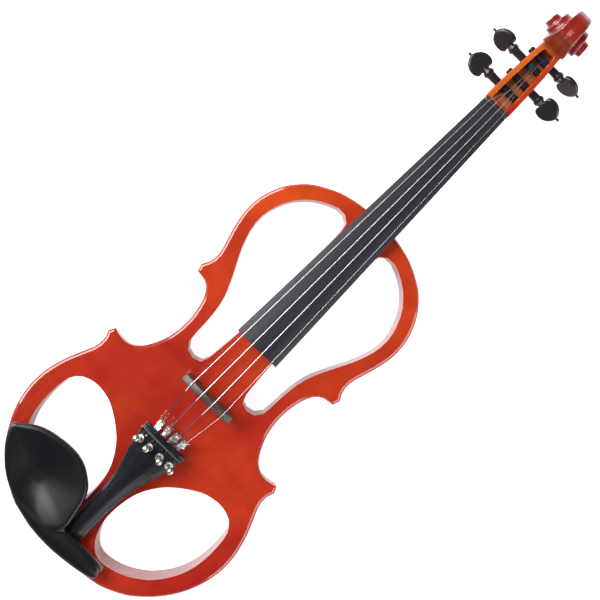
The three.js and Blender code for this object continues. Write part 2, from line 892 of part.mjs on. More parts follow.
function pegboxSide() {
  return [
    ...pegboxBack(),
    point(scrollEyeY, scrollEyeZ),
    point(pegboxEndY + pegboxHeadWall, pegboxEdge(pegboxEndY)),
    point(pegboxEndY, pegboxEdge(pegboxEndY)),
    point(nutEndY + seatGap, pegboxEdge(nutEndY)),
    point(nutEndY + seatGap, boardBottom(nutY) - seatGap),
    point(nutY, boardBottom(nutY) - seatGap),
  ];
}

function pegboxHalfWidth(y) {
  const share = (y - nutEndY) / (pegboxEndY - nutEndY);
  return mix(pegboxNutWidth, pegboxEndWidth, share * share) / 2;
}

function pegboxPlan(inset, start, end) {
  const steps = 5;
  const side = [];
  for (let i = 0; i <= steps; i++) {
    const y = mix(start, end, i / steps);
    side.push(point(pegboxHalfWidth(y) - inset, y));
  }
  return [...side, ...mirrored(side)];
}

function pegboxHollow() {
  const start = nutEndY + pegboxHeadWall / 2;
  const end = pegboxEndY;
  const steps = 5;
  const ceiling = boardCrown(nutY) + cutOverrun;
  const floor = [];
  for (let i = 0; i <= steps; i++) {
    const y = mix(start + pegboxFloorWall, end - pegboxFloorWall / 2, i / steps);
    floor.push(point(y, pegboxFloor(y)));
  }
  const side = [
    point(start, boardBottom(nutY) - neckNutThickness / 2),
    ...floor,
    point(end, pegboxFloor(end) + pegboxFloorWall),
    point(end, ceiling),
    point(start, ceiling),
  ];
  const plan = pegboxPlan(pegboxWall, start - cutOverrun, end + cutOverrun);
  const half = pegboxNutWidth / 2;
  return common(slab(side, -half, half), plate(plan, -cutOverrun, ceiling));
}

// Quarter turn by quarter turn from the back of the head: shares of radius and of half width
const voluteRadiusShares = [0.95, 1, 0.88, 0.75, 0.63, 0.575, 0.5, 0.43, 0.37, 0.32, 0.29, 0.275, 0.27];
const voluteWidthShares = [0.42, 0.29, 0.4, 0.6, 0.61, 0.63, 0.69, 0.78, 0.86, 0.92, 0.97, 1, 1];

function volute(quarters) {
  const low = Math.min(Math.floor(quarters), voluteRadiusShares.length - 2);
  const share = quarters - low;
  const eased = (1 - Math.cos(share * Math.PI)) / 2;
  return {
    radiusShare: mix(voluteRadiusShares[low], voluteRadiusShares[low + 1], share),
    widthShare: mix(voluteWidthShares[low], voluteWidthShares[low + 1], eased),
  };
}

// One turn of the scroll: a disc whose rim draws in and widens as it goes round.
// Each starts one step before the last one ends.
function voluteTurn(turn) {
  const steps = 24;
  const half = scrollEarWidth / 2;
  const places = [];
  const faces = [];
  const first = turn * (4 - 4 / steps);
  const centreShare = volute(first + 2).widthShare;
  const middle = half * Math.min(centreShare, 1);
  places.push(-middle, scrollEyeY, scrollEyeZ, middle, scrollEyeY, scrollEyeZ);
  for (let i = 0; i <= steps; i++) {
    const quarters = first + (i / steps) * 4;
    const { radiusShare, widthShare } = volute(quarters);
    const angle = ((quarters - 1) * Math.PI) / 2;
    const y = scrollEyeY + scrollRadius * radiusShare * Math.cos(angle);
    const z = scrollEyeZ + scrollRadius * radiusShare * Math.sin(angle);
    places.push(-half * widthShare, y, z, half * widthShare, y, z);
  }
  for (let i = 0; i < steps; i++) {
    const here = 2 + i * 2;
    const next = here + 2;
    faces.push(0, next, here, 1, here + 1, next + 1);
    faces.push(here, next, next + 1, here, next + 1, here + 1);
  }
  const rimIndex = 2 + steps * 2;
  faces.push(0, 2, 3, 0, 3, 1, 0, 1, rimIndex + 1, 0, rimIndex + 1, rimIndex);
  const geometry = new THREE.BufferGeometry();
  geometry.setAttribute("position", new THREE.Float32BufferAttribute(places, 3));
  geometry.setIndex(faces);
  return geometry;
}

function headSilhouette() {
  const side = [
    point(boardNutWidth / 2, nutY),
    point(pegboxNutWidth / 2, nutEndY + seatGap),
  ];
  const steps = 5;
  for (let i = 1; i <= steps; i++) {
    const y = mix(nutEndY, pegboxEndY, i / steps);
    side.push(point(pegboxHalfWidth(y), y));
  }
  const throatHalf = (scrollEarWidth / 2) * volute(0).widthShare;
  side.push(point(throatHalf, scrollEyeY));
  return [...side, ...mirrored(side)];
}

function pegPlace(index) {
  const y = pegYs[index];
  return new THREE.Vector3(0, y, pegboxEdge(y) - pegBelowEdge);
}

// G and D have their heads on the bass side, A and E on the treble side
function pegSide(index) {
  return index < 2 ? -1 : 1;
}

function pegRadiusAt(reach) {
  const share = (reach + pegCollarX) / (pegCollarX * 2);
  return mix(pegSmallRadius, pegLargeRadius, share);
}

function placedPeg(geometry, index) {
  if (pegSide(index) < 0) geometry.rotateZ(Math.PI);
  const place = pegPlace(index);
  return geometry.translate(place.x, place.y, place.z);
}

function pegHoles() {
  const reach = pegboxNutWidth / 2 + cutOverrun;
  const profile = [
    [0, -reach],
    [pegRadiusAt(-reach) + turnGap, -reach],
    [pegRadiusAt(reach) + turnGap, reach],
    [0, reach],
  ];
  return pegYs.map((y, index) => placedPeg(alongX(turned(profile, roundSides)), index));
}

function neckGeometry() {
  const sides = slab(pegboxSide(), -pegboxNutWidth, pegboxNutWidth);
  const box = common(sides, plate(headSilhouette(), -scrollRadius, nutTop()));
  const scroll = join(...[0, 1, 2].map((turn) => voluteTurn(turn)));
  const whole = join(neckShaft(), neckTenon(), box, scroll);
  return cut(whole, pegboxHollow(), ...pegHoles());
}

// Half of a peg's heart-shaped head: shares of its length and of its half width
const pegHeadShares = [
  [0, 0.26], [0.03, 0.42], [0.0, 0.66], [0.08, 0.86], [0.24, 0.98], [0.4, 1],
  [0.6, 0.93], [0.8, 0.72], [0.94, 0.4], [1, 0.14],
];

function pegHead(start) {
  const side = pegHeadShares.map(([along, across]) =>
    point(start + pegHeadLength * along, (pegHeadWidth / 2) * across),
  );
  const outline = [...side.map((p) => point(p.x, -p.y)), ...side.slice().reverse()];
  const half = pegHeadThickness / 2;
  return rounded(new THREE.Shape(outline), -half, half, pegHeadRound, pegHeadRound, 1);
}

function pegGeometry(index) {
  const tip = pegTipReaches[index];
  const tipRadius = pegRadiusAt(-tip);
  const collarX = pegCollarX - pegPulls[index];
  const headStart = pegHeadStart - pegPulls[index];
  const headEnd = headStart + pegHeadLength;
  const collarEnd = collarX + pegCollarLength;
  const shank = alongX(turned([
    [0, -tip],
    [tipRadius - pegTipRound, -tip],
    [tipRadius, -tip + pegTipRound],
    [pegRadiusAt(collarX), collarX],
    [pegCollarRadius, collarX + pegCollarLength / 4],
    [pegCollarRadius, collarEnd],
    [pegNeckRadius, headStart],
    [pegNeckRadius / 2, headStart + pegHeadLength / 2],
    [pegPipRadius / 2, headEnd],
    [pegPipRadius, headEnd + pegPipLength / 2],
    [pegPipRadius / 2, headEnd + pegPipLength],
    [0, headEnd + pegPipLength],
  ], roundSides));
  return join(shank, pegHead(headStart));
}

function addPegs() {
  const names = ["peg_g", "peg_d", "peg_a", "peg_e"];
  names.forEach((name, index) => {
    const peg = pegGeometry(index).rotateX(THREE.MathUtils.degToRad(pegTurns[index]));
    add(name, placedPeg(peg, index), boxwoodBlack);
  });
}

const bridgeTopZ = bodyThickness + seatGap + bridgeHeight;

function bridgeGeometry() {
  const half = bridgeLength / 2;
  const low = bodyThickness + seatGap;
  const archSteps = 10;
  const outline = [point(-half + bridgeEndLean, low), point(-half + bridgeEndLean + bridgeFootWidth, low)];
  const arch = half - bridgeEndLean - bridgeFootWidth;
  outline.push(point(-arch, low + bridgeFootHeight));
  outline.push(point(-arch / 2, low + bridgeArchHeight));
  outline.push(point(arch / 2, low + bridgeArchHeight));
  outline.push(point(arch, low + bridgeFootHeight));
  outline.push(point(half - bridgeEndLean - bridgeFootWidth, low), point(half - bridgeEndLean, low));
  for (let i = archSteps; i >= 0; i--) {
    const x = mix(-half, half, i / archSteps);
    outline.push(point(x, bridgeTopZ - archDrop(x, bridgeArchRadius)));
  }
  const back = bridgeY - bridgeThickness / 2;
  return wedge(outline, back, back + bridgeThickness);
}

function pickupGeometry() {
  const half = pickupLength / 2;
  const wide = pickupWidth / 2;
  return block(-half, half, bridgeY - wide, bridgeY + wide, bodyThickness - pickupDepth, bodyThickness);
}

// Each row is a share of the tailpiece's length from its head and of its head's half width
const tailpieceShares = [
  [0, 1], [0.06, 0.97], [0.13, 0.9], [0.22, 0.8], [0.32, 0.64], [0.42, 0.5], [0.52, 0.42],
  [0.66, 0.38], [0.85, 0.38], [0.96, 0.42], [1, 0.4],
];
const tailpieceArchShares = [[-1, 0], [-0.8, 0.34], [-0.4, 0.78], [0, 1], [0.4, 0.78], [0.8, 0.34], [1, 0]];

function tailpieceBottom(y) {
  return mix(tailpieceHeadZ, tailpieceTailZ, (tailpieceHeadY - y) / (tailpieceHeadY - tailpieceTailY));
}

function tailpieceHalfWidth(y) {
  const share = (tailpieceHeadY - y) / (tailpieceHeadY - tailpieceTailY);
  const after = tailpieceShares.findIndex(([along]) => along >= share);
  const [endShare, endWidth] = tailpieceShares[Math.max(after, 1)];
  const [startShare, startWidth] = tailpieceShares[Math.max(after, 1) - 1];
  const within = (share - startShare) / (endShare - startShare);
  return (tailpieceHeadWidth / 2) * mix(startWidth, endWidth, within);
}

function tailpieceTop(x, y) {
  const share = Math.min(Math.abs(x) / tailpieceHalfWidth(y), 1);
  const after = tailpieceArchShares.findIndex(([across]) => across >= share);
  const [endShare, endRise] = tailpieceArchShares[after];
  const [startShare, startRise] = tailpieceArchShares[after - 1];
  const rise = mix(startRise, endRise, (share - startShare) / (endShare - startShare));
  return tailpieceBottom(y) + tailpieceEdgeThickness + tailpieceRidge * rise;
}

function tailpieceRing(y, half, hollow) {
  const bottom = tailpieceBottom(y);
  const ring = tailpieceArchShares.map(([across, rise]) => [
    half * across,
    y - hollow * (1 - across * across),
    bottom + tailpieceEdgeThickness + tailpieceRidge * rise,
  ]);
  ring.push([half, y, bottom], [0, y - hollow, bottom], [-half, y, bottom]);
  return ring.reverse();
}

function tailpieceBody() {
  const length = tailpieceHeadY - tailpieceTailY;
  const rings = tailpieceShares.map(([along, across], index) => {
    const y = tailpieceHeadY - length * along;
    const hollow = index === 0 ? tailpieceHeadHollow : 0;
    return tailpieceRing(y, (tailpieceHeadWidth / 2) * across, hollow);
  });
  return skin(rings);
}

function tailpieceFret() {
  const y = tailpieceHeadY - fretFromHead;
  const rings = [y + fretWidth / 2, y - fretWidth / 2].map((place) => {
    const half = tailpieceHalfWidth(place) - seatGap;
    const top = tailpieceArchShares.map(([across]) => [
      half * across,
      place - tailpieceHeadHollow * (1 - across * across),
      tailpieceTop(half * across, place) + fretRise,
    ]);
    const low = tailpieceArchShares.map(([across]) => [
      half * across,
      place - tailpieceHeadHollow * (1 - across * across),
      tailpieceBottom(place) + tailpieceEdgeThickness / 2,
    ]);
    return [...top, ...low.reverse()].reverse();
  });
  return skin(rings);
}

// The screw's axis meets the tailpiece here, and each tuner's own frame starts here
function tunerBase(index) {
  const x = tunerXs[index];
  return new THREE.Vector3(x, tunerY, tailpieceTop(x, tunerY));
}

function tunerTurn(index) {
  const lean = THREE.MathUtils.degToRad(tunerLeans[index]);
  const tail = THREE.MathUtils.degToRad(tunerTailLean);
  const turn = new THREE.Matrix4().makeRotationZ(THREE.MathUtils.degToRad(tunerYaws[index]));
  turn.multiply(new THREE.Matrix4().makeRotationY(lean));
  return turn.multiply(new THREE.Matrix4().makeRotationX(tail));
}

function tunerMatrix(index) {
  const matrix = tunerTurn(index);
  return matrix.setPosition(tunerBase(index));
}

function keyholes() {
  return tunerXs.flatMap((x, index) => {
    const deep = tailpieceEdgeThickness + tailpieceRidge + cutOverrun;
    const hole = rod(tunerPostRadius + seatGap, -deep, cutOverrun).applyMatrix4(tunerMatrix(index));
    const half = keyholeSlitWidth / 2;
    const slit = block(-half, half, 0, keyholeSlitLength, -deep, cutOverrun).applyMatrix4(tunerMatrix(index));
    return [hole, slit];
  });
}

function gutHoles() {
  return [-1, 1].map((side) => {
    const radius = gutDiameter / 2 + seatGap;
    const hole = alongY(rod(radius, tailpieceTailY - cutOverrun, tailpieceTailY + gutHoleDepth, fineSides));
    return hole.translate((side * gutSpread) / 2, 0, gutHoleZ());
  });
}

function gutHoleZ() {
  return tailpieceBottom(tailpieceTailY) + (tailpieceEdgeThickness + tailpieceRidge) / 2;
}

function tailpieceGeometry() {
  const body = join(tailpieceBody(), tailpieceFret());
  return cut(body, ...keyholes(), ...gutHoles());
}

// How far the tailpiece's underside lies below a tuner's base, with room for the lean
function tunerUnder(index) {
  const half = tunerFrameWidth / 2;
  const lean = Math.tan(THREE.MathUtils.degToRad(Math.abs(tunerLeans[index])));
  const tail = Math.tan(THREE.MathUtils.degToRad(tunerTailLean));
  const slope = (tailpieceHeadZ - tailpieceTailZ) / (tailpieceHeadY - tailpieceTailY);
  const deep = tailpieceTop(tunerXs[index], tunerY) - tailpieceBottom(tunerY);
  const tailSide = Math.max(tail - slope, 0) * tunerFrameReach;
  return deep + half * lean + tailSide + seatGap;
}

function tunerPin() {
  return { y: tunerFrameReach - tunerPinFromFront, below: tunerFrameThickness + tunerPinBelow };
}

function tunerFrame(under) {
  const half = tunerFrameWidth / 2;
  const plateTop = -under;
  const plateLow = plateTop - tunerFrameThickness;
  const pin = tunerPin();
  const bar = block(-half, half, -tunerFrameTail, tunerFrameReach, plateLow, plateTop);
  const post = rod(tunerPostRadius, plateLow, tunerPostRise);
  const ears = [-1, 1].map((side) => {
    const outer = side * half;
    const inner = side * (half - tunerEarThickness);
    const [x0, x1] = [Math.min(outer, inner), Math.max(outer, inner)];
    const y0 = tunerFrameReach - tunerEarLength;
    return block(x0, x1, y0, tunerFrameReach, plateLow - tunerEarDrop, plateTop - tunerFrameThickness / 2);
  });
  const axleEnd = half - tunerEarThickness / 2;
  const axle = alongX(rod(tunerPinRadius, -axleEnd, axleEnd, fineSides));
  axle.translate(0, pin.y, plateTop - pin.below);
  const bore = rod(tunerScrewRadius + turnGap, plateLow - cutOverrun, tunerPostRise + cutOverrun, fineSides);
  return cut(join(bar, post, ...ears, axle), bore);
}

function tunerHook() {
  const y0 = tunerFrameReach + tunerHookGap;
  return { y0, y1: y0 + tunerHookLength, z0: tunerHookRise - tunerHookHeight, z1: tunerHookRise };
}

// The hook in side view: a shoulder, a floor for the string's ball and an upturned tip
function tunerHookSide() {
  const { y0, y1, z0, z1 } = tunerHook();
  const bar = tunerHookBar;
  return [
    point(y0, z0),
    point(y1 - bar, z0),
    point(y1, z0 + bar),
    point(y1, z1 - bar / 2),
    point(y1 - bar / 2, z1),
    point(y1 - bar, z1 - bar / 2),
    point(y1 - bar, z0 + bar),
    point(y0 + bar, z0 + bar),
    point(y0 + bar, z1 - bar * 2),
    point(y0, z1 - bar * 2),
  ];
}

function tunerLever(under) {
  const half = tunerLeverThickness / 2;
  const hook = tunerHook();
  const pin = tunerPin();
  const pinZ = -under - pin.below;
  const armTop = -under - tunerFrameThickness - tunerTailArmGap;
  const armLow = armTop - tunerTailArmHeight;
  const armEnd = hook.y0 + tunerHookBar * 2;
  const side = [
    point(-tunerFrameTail / 2, armLow),
    point(pin.y, pinZ - tunerTailArmHeight),
    point(armEnd, pinZ),
    point(armEnd, hook.z0 + tunerHookBar / 2),
    point(hook.y0, hook.z0 + tunerHookBar / 2),
    point(hook.y0, armTop),
    point(-tunerFrameTail / 2, armTop),
  ];
  const arm = slab(side, -half, half);
  const wide = tunerHookWidth / 2;
  const head = slab(tunerHookSide(), -wide, wide);
  const slot = tunerHookSlot / 2;
  const reach = hook.y1 + cutOverrun;
  const grooveStart = armEnd + tunerHookBar / 2;
  const groove = block(-slot, slot, grooveStart, reach, hook.z0 - cutOverrun, hook.z1 + cutOverrun);
  const pinHole = alongX(rod(tunerPinRadius + turnGap / 2, -tunerHookWidth, tunerHookWidth, fineSides));
  pinHole.translate(0, pin.y, pinZ);
  return cut(join(arm, head), groove, pinHole);
}

// Where a string's ball lies in a tuner's own frame: on the floor, against the upturned tips
function tunerBall() {
  const hook = tunerHook();
  const y = hook.y1 - tunerHookBar - tunerBallRoom - stringBallRadius;
  return new THREE.Vector3(0, y, hook.z0 + tunerHookBar + tunerBallRoom + stringBallRadius);
}

function tunerScrew(under) {
  const pinArmTop = -under - tunerFrameThickness - tunerTailArmGap;
  const tip = pinArmTop + tunerTipGap;
  const neckTop = tunerPostRise + tunerNeckLength;
  const top = neckTop + tunerKnobLength;
  return turned([
    [0, tip],
    [tunerScrewRadius, tip],
    [tunerScrewRadius, neckTop],
    [tunerKnobRadius, neckTop + tunerKnobLength / 4],
    [tunerKnobRadius, top - tunerKnobLength / 4],
    [tunerKnobWaist, top],
    [0, top],
  ], fineSides);
}

function tunerCollar() {
  const low = tunerCollarLift;
  const high = low + tunerNutHeight;
  const inner = tunerPostRadius + seatGap / 2;
  const ring = rod(tunerNutRadius, low, high);
  return cut(ring, rod(inner, low - cutOverrun, high + cutOverrun));
}

const tunerCollarLift = 0.9;

function addTuners() {
  const letters = ["g", "d", "a", "e"];
  letters.forEach((letter, index) => {
    const under = tunerUnder(index);
    const unit = new THREE.Group();
    unit.applyMatrix4(tunerMatrix(index));
    group.add(unit);
    add(`tuner_frame_${letter}`, tunerFrame(under), nickel, unit);
    add(`tuner_lever_${letter}`, tunerLever(under), nickel, unit);
    add(`tuner_screw_${letter}`, tunerScrew(under), nickel, unit);
    add(`tuner_nut_${letter}`, tunerCollar(), nickel, unit);
  });
}

// A string: ball, straight over the bridge and the nut, then its winding on the peg
function stringPath(index) {
  const radius = stringDiameters[index] / 2;
  const lift = radius + stringLift;
  const number = index - (stringDiameters.length - 1) / 2;
  const ball = tunerBall().applyMatrix4(tunerMatrix(index));
  const bridgeX = number * stringBridgeSpacing;
  const bridgeZ = bridgeTopZ - archDrop(bridgeX, bridgeArchRadius) + lift;
  const edge = bridgeThickness / 2;
  const nutX = number * stringNutSpacing;
  const peg = pegPlace(index);
  const windRadius = pegRadiusAt(0) + turnGap + radius;
  const nutZ = nutTop() - archDrop(nutX, boardArchRadius) + lift;
  const nutPlace = new THREE.Vector3(nutX, nutY + seatGap + nutRound, nutZ);
  const toNut = new THREE.Vector2(nutPlace.y - peg.y, nutPlace.z - peg.z);
  const lean = Math.atan2(toNut.y, toNut.x) - Math.acos(windRadius / toNut.length());
  const side = pegSide(index);
  const turns = stringTurns[index];
  const path = [
    ball,
    new THREE.Vector3(bridgeX, bridgeY - edge, bridgeZ),
    new THREE.Vector3(bridgeX, bridgeY + edge, bridgeZ),
    nutPlace,
  ];
  const steps = turns * windingSteps;
  for (let i = 0; i <= steps; i++) {
    const angle = lean - (i / windingSteps) * Math.PI * 2;
    const along = stringWindStarts[index] + side * stringWindPitches[index] * (i / windingSteps);
    const y = peg.y + windRadius * Math.cos(angle);
    const z = peg.z + windRadius * Math.sin(angle);
    path.push(new THREE.Vector3(along, y, z));
  }
  const last = path[path.length - 1];
  const onward = last.clone().sub(path[path.length - 2]).normalize();
  path.push(last.clone().addScaledVector(onward, stringDiameters[index]));
  return path;
}

const stringTurns = [3, 3, 3, 4];

// The least clear distance between neighbouring turns of a winding, measured on its points
function leastWindingGap(path, diameter) {
  const leadSteps = 4;
  let least = Infinity;
  for (let i = leadSteps; i < path.length; i++) {
    for (let j = i + windingSteps / 2; j < path.length; j++) {
      least = Math.min(least, path[i].distanceTo(path[j]) - diameter);
    }
  }
  return least;
}

function addStrings() {
  const letters = ["g", "d", "a", "e"];
  letters.forEach((letter, index) => {
    const path = stringPath(index);
    const gap = leastWindingGap(path, stringDiameters[index]);
    console.log(`string_${letter}: least gap between its turns ${gap.toFixed(2)} mm`);
    const wire = tube(path, stringDiameters[index] / 2, windingSides);
    const half = stringBallLength / 2;
    const ball = alongX(rod(stringBallRadius, -half, half, fineSides));
    ball.applyMatrix4(tunerTurn(index)).translate(path[0].x, path[0].y, path[0].z);
    add(`string_${letter}`, join(wire, ball), steelString);
  });
}

const saddleTopZ = bodyThickness + saddleRise;

function saddleGeometry() {
  const y0 = tailEdgeY + saddleInset;
  const y1 = y0 + saddleLength;
  const low = bodyThickness - saddleSunk;
  const side = [
    point(y0, low),
    point(y1, low),
    point(y1, saddleTopZ - saddleRound),
    point(y1 - saddleRound, saddleTopZ),
    point(y0 + saddleRound, saddleTopZ),
    point(y0, saddleTopZ - saddleRound),
  ];
  return slab(side, -saddleWidth / 2, saddleWidth / 2);
}

function buttonPlaces() {
  const rim = tailEdgeY - seatGap;
  const neck = rim - buttonRimLength;
  const head = neck - buttonNeckLength;
  return { rim, neck, head, end: head - buttonHeadLength };
}

function buttonGeometry() {
  const { rim, neck, head, end } = buttonPlaces();
  const pinEnd = tailEdgeY + buttonPinLength;
  const button = alongY(turned([
    [0, end],
    [buttonHeadRadius * 0.7, end],
    [buttonHeadRadius, end + buttonHeadLength / 3],
    [buttonHeadRadius, head],
    [buttonNeckRadius, head],
    [buttonNeckRadius, neck],
    [buttonRimRadius, neck],
    [buttonRimRadius, rim],
    [buttonPinRadius, rim],
    [buttonPinRadius, pinEnd],
    [0, pinEnd],
  ], roundSides));
  return button.translate(0, 0, bodyThickness / 2);
}

// The gut's loop: out of one hole, over the saddle, under the button's neck and back
function gutPath() {
  const radius = gutDiameter / 2;
  const { neck, head } = buttonPlaces();
  const loopY = (neck + head) / 2;
  const loopRadius = buttonNeckRadius + seatGap + radius;
  const lift = saddleTopZ + radius + seatGap;
  const holeX = gutSpread / 2;
  const saddleY0 = tailEdgeY + saddleInset;
  const leg = [
    new THREE.Vector3(holeX, tailpieceTailY + gutHoleDepth - radius, gutHoleZ()),
    new THREE.Vector3(holeX, tailpieceTailY - radius, gutHoleZ()),
    new THREE.Vector3(holeX, saddleY0 + saddleLength - saddleRound, lift),
    new THREE.Vector3(holeX, saddleY0 + saddleRound, lift),
    new THREE.Vector3(holeX, loopY + radius, saddleTopZ - saddleRound / 2),
    new THREE.Vector3(holeX, loopY, saddleTopZ - saddleRound * 2),
  ];
  const steps = 8;
  const arc = [];
  for (let i = 0; i <= steps; i++) {
    const angle = (-i / steps) * Math.PI;
    const x = loopRadius * Math.cos(angle);
    arc.push(new THREE.Vector3(x, loopY, bodyThickness / 2 + loopRadius * Math.sin(angle)));
  }
  const back = leg.map((p) => new THREE.Vector3(-p.x, p.y, p.z)).reverse();
  return [...leg, ...arc, ...back];
}

// The cup's outline: shares of its width from the left and of its length from the head
const chinCupShares = [
  [0.006, 0.275], [0.072, 0.197], [0.183, 0.099], [0.294, 0.042], [0.406, 0.014],
  [0.517, 0], [0.628, 0.01], [0.739, 0.056], [0.85, 0.155], [0.906, 0.232], [0.95, 0.352],
  [0.978, 0.52], [1, 0.69], [0.96, 0.86], [0.85, 0.965], [0.739, 0.966], [0.517, 0.894],
  [0.406, 0.824], [0.294, 0.739], [0.183, 0.62], [0.072, 0.458],
];
// Rings from the underside's middle round the rim to the dish: shares of the outline's size,
// of the belly's depth below the rim's foot, of the rim's height and of the dish's depth
const chinRingShares = [
  [0.3, 1, 0, 0], [0.7, 0.75, 0, 0], [0.93, 0.2, 0, 0], [0.99, 0, 0.3, 0], [1, 0, 0.62, 0],
  [0.985, 0, 0.9, 0], [0.95, 0, 1, 0], [0.86, 0, 1, 0.22], [0.66, 0, 1, 0.66], [0.34, 0, 1, 0.94],
];

function chinCup() {
  const steps = 30;
  const outline = closedCurve(
    stretch(chinCupShares, chinCupLeft, chinCupRight, chinCupHeadY, chinCupTailY),
    steps,
  ).reverse();
  const centreX = mix(chinCupLeft, chinCupRight, 1 / 2);
  const centreY = mix(chinCupHeadY, chinCupTailY, 1 / 2);
  const rim = chinTopZ - chinBottomZ;
  const rings = chinRingShares.map(([size, belly, height, dish]) =>
    outline.map((p) => [
      mix(centreX, p.x, size),
      mix(centreY, p.y, size),
      chinBottomZ - chinBelly * belly + rim * height - chinDish * dish,
    ]),
  );
  return skin(rings);
}

// The arm's outline: shares of its length from the left end and of its width from the head
const chinArmShares = [
  [0, 0.34], [0.35, 0.12], [0.57, 0], [0.8, 0], [0.91, 0.06], [0.966, 0.22], [0.994, 0.4],
  [1, 0.5], [0.977, 0.64], [0.91, 0.76], [0.8, 0.88], [0.68, 0.95], [0.57, 0.99], [0.45, 1],
  [0.34, 0.97], [0.23, 0.91], [0.1, 0.76], [0, 0.64],
];

function chinArm() {
  const outline = stretch(chinArmShares, chinArmLeftX, chinArmRightX, chinArmHeadY, chinArmTailY).reverse();
  const shape = new THREE.Shape(outline);
  return rounded(shape, chinBottomZ, chinTopZ, chinArmRound, chinArmRound * 0.8, 2);
}

function chinFootOutline(left, proud = 0) {
  const right = left + chinFootWidth + proud;
  return rectangle(left, right, chinFootTailY, chinFootHeadY + proud, chinFootRound);
}

function chinGeometry() {
  const low = bodyThickness + seatGap + chinCorkThickness + seatGap;
  const high = mix(chinBottomZ, chinTopZ, 1 / 2);
  const feet = [chinFootLeftX, chinFootRightX].map((left) => plate(chinFootOutline(left), low, high));
  const leftHigh = chinBottomZ + seatGap;
  feet[0] = plate(chinFootOutline(chinFootLeftX), low, leftHigh);
  return join(chinCup(), chinArm(), ...feet);
}

function addChinRest() {
  add("chinrest", chinGeometry(), ebony);
  const low = bodyThickness + seatGap;
  const names = ["chinrest_cork_left", "chinrest_cork_right"];
  [chinFootLeftX, chinFootRightX].forEach((left, index) => {
    add(names[index], plate(chinFootOutline(left, chinCorkProud), low, low + chinCorkThickness), cork);
  });
}

function clampStuds(z0, z1) {
  return [-1, 1].map((side) =>
    rod(clampStudRadius, z0, z1, fineSides).translate(side * clampStudX, clampStudY, 0),
  );
}

// The bracket under the arm: a bar, two legs bent down and out over the edge, and two studs
function clampBracketGeometry() {
  const top = chinBottomZ - seatGap;
  const low = top - clampPlateThickness;
  const tabLow = bodyThickness + clampTabLift;
  const tabTop = tabLow + clampPlateThickness;
  const legY1 = clampLegY;
  const legY0 = clampLegY - clampPlateThickness;
  const outY = clampStudY - clampStudRadius;
  const half = clampStudX + clampBarWidth / 2;
  const pieces = [block(-half, half, legY0, clampBarHeadY, low, top)];
  for (const side of [-1, 1]) {
    const x0 = side * clampStudX - clampBarWidth / 2;
    const x1 = x0 + clampBarWidth;
    pieces.push(block(x0, x1, legY0, legY1, tabLow, top));
    pieces.push(block(x0, x1, outY, legY1, tabLow, tabTop));
  }
  const studLow = clampBarrelTopZ - clampStudBite;
  return join(...pieces, ...clampStuds(studLow, tabTop - clampPlateThickness / 2));
}

function clampBarrelGeometry(side) {
  const tubeShape = rod(clampBarrelRadius, clampBarrelBottomZ, clampBarrelTopZ);
  const low = clampBarrelBottomZ - cutOverrun;
  const bore = rod(clampStudRadius + turnGap, low, clampBarrelTopZ + cutOverrun, fineSides);
  const reach = clampBarrelRadius + cutOverrun;
  const keyHole = alongX(rod(clampBarrelHole, -reach, reach, fineSides));
  keyHole.translate(0, 0, (clampBarrelBottomZ + clampBarrelTopZ) / 2);
  return cut(tubeShape, bore, keyHole).translate(side * clampStudX, clampStudY, 0);
}

function addClamp() {
  add("clamp_bracket", clampBracketGeometry(), nickel);
  add("clamp_barrel_left", clampBarrelGeometry(-1), nickel);
  add("clamp_barrel_right", clampBarrelGeometry(1), nickel);
  const corkTop = -seatGap;
  const corkLow = corkTop - clampCorkThickness;
  const half = clampStudX + clampBarWidth / 2;
  const padEnd = tailEdgeY + clampFootReach;
  add("clamp_cork", block(-half, half, tailEdgeY + seatGap, padEnd, corkLow, corkTop), cork);
  const footTop = corkLow - seatGap;
  const footLow = footTop - clampPlateThickness;
  const foot = join(
    block(-half, half, clampStudY - clampStudRadius, padEnd, footLow, footTop),
    ...clampStuds(footTop - clampPlateThickness / 2, clampBarrelBottomZ + clampStudBite),
  );
  add("clamp_foot", foot, nickel);
}

function wellFloorZ() {
  return wellDepth;
}

// The plate that closes the bay, with its well, its battery opening and its board pillars
function controlPlateGeometry() {
  const flange = plate(plateOutline(0), 0, plateThickness);
  const outer = rectangle(
    wellLeftX - wellWall,
    wellRightX + wellWall,
    wellTailY - wellWall,
    wellHeadY + wellWall,
    bayRound / 2,
  );
  const well = plate(outer, plateThickness / 2, wellFloorZ() + wellWall);
  const inner = rectangle(wellLeftX, wellRightX, wellTailY, wellHeadY, bayRound / 2);
  const hollow = plate(inner, -cutOverrun, wellFloorZ());
  const shaftHoles = [volumeKnobY, toneKnobY].map((y) =>
    rod(potShaftRadius + turnGap, wellDepth - cutOverrun, wellDepth + cutOverrun).translate(knobX, y, 0),
  );
  const slotHalf = (switchButtonWidth + switchTravel) / 2 + turnGap;
  const slotSide = switchButtonLength / 2 + turnGap;
  const z0 = wellDepth - cutOverrun;
  const z1 = wellDepth + cutOverrun;
  const switchSlot = block(
    knobX - slotHalf,
    knobX + slotHalf,
    switchY - slotSide,
    switchY + slotSide,
    z0,
    z1,
  );
  const opening = plate(doorOutline(doorSideGap), -cutOverrun, plateThickness + cutOverrun);
  const pinSockets = doorPins(doorSideGap + turnGap);
  const pillars = preampPillars();
  const screwHoles = plateScrewPlaces().flatMap(([x, y]) => [
    rod(plateScrewRadius + seatGap, -cutOverrun, plateThickness + cutOverrun, fineSides).translate(x, y, 0),
    rod(plateScrewHeadRadius + seatGap, -cutOverrun, plateScrewHeadHeight, fineSides).translate(x, y, 0),
  ]);
  const shell = join(flange, well, ...pillars);
  return cut(shell, hollow, ...shaftHoles, switchSlot, opening, ...pinSockets, ...screwHoles);
}

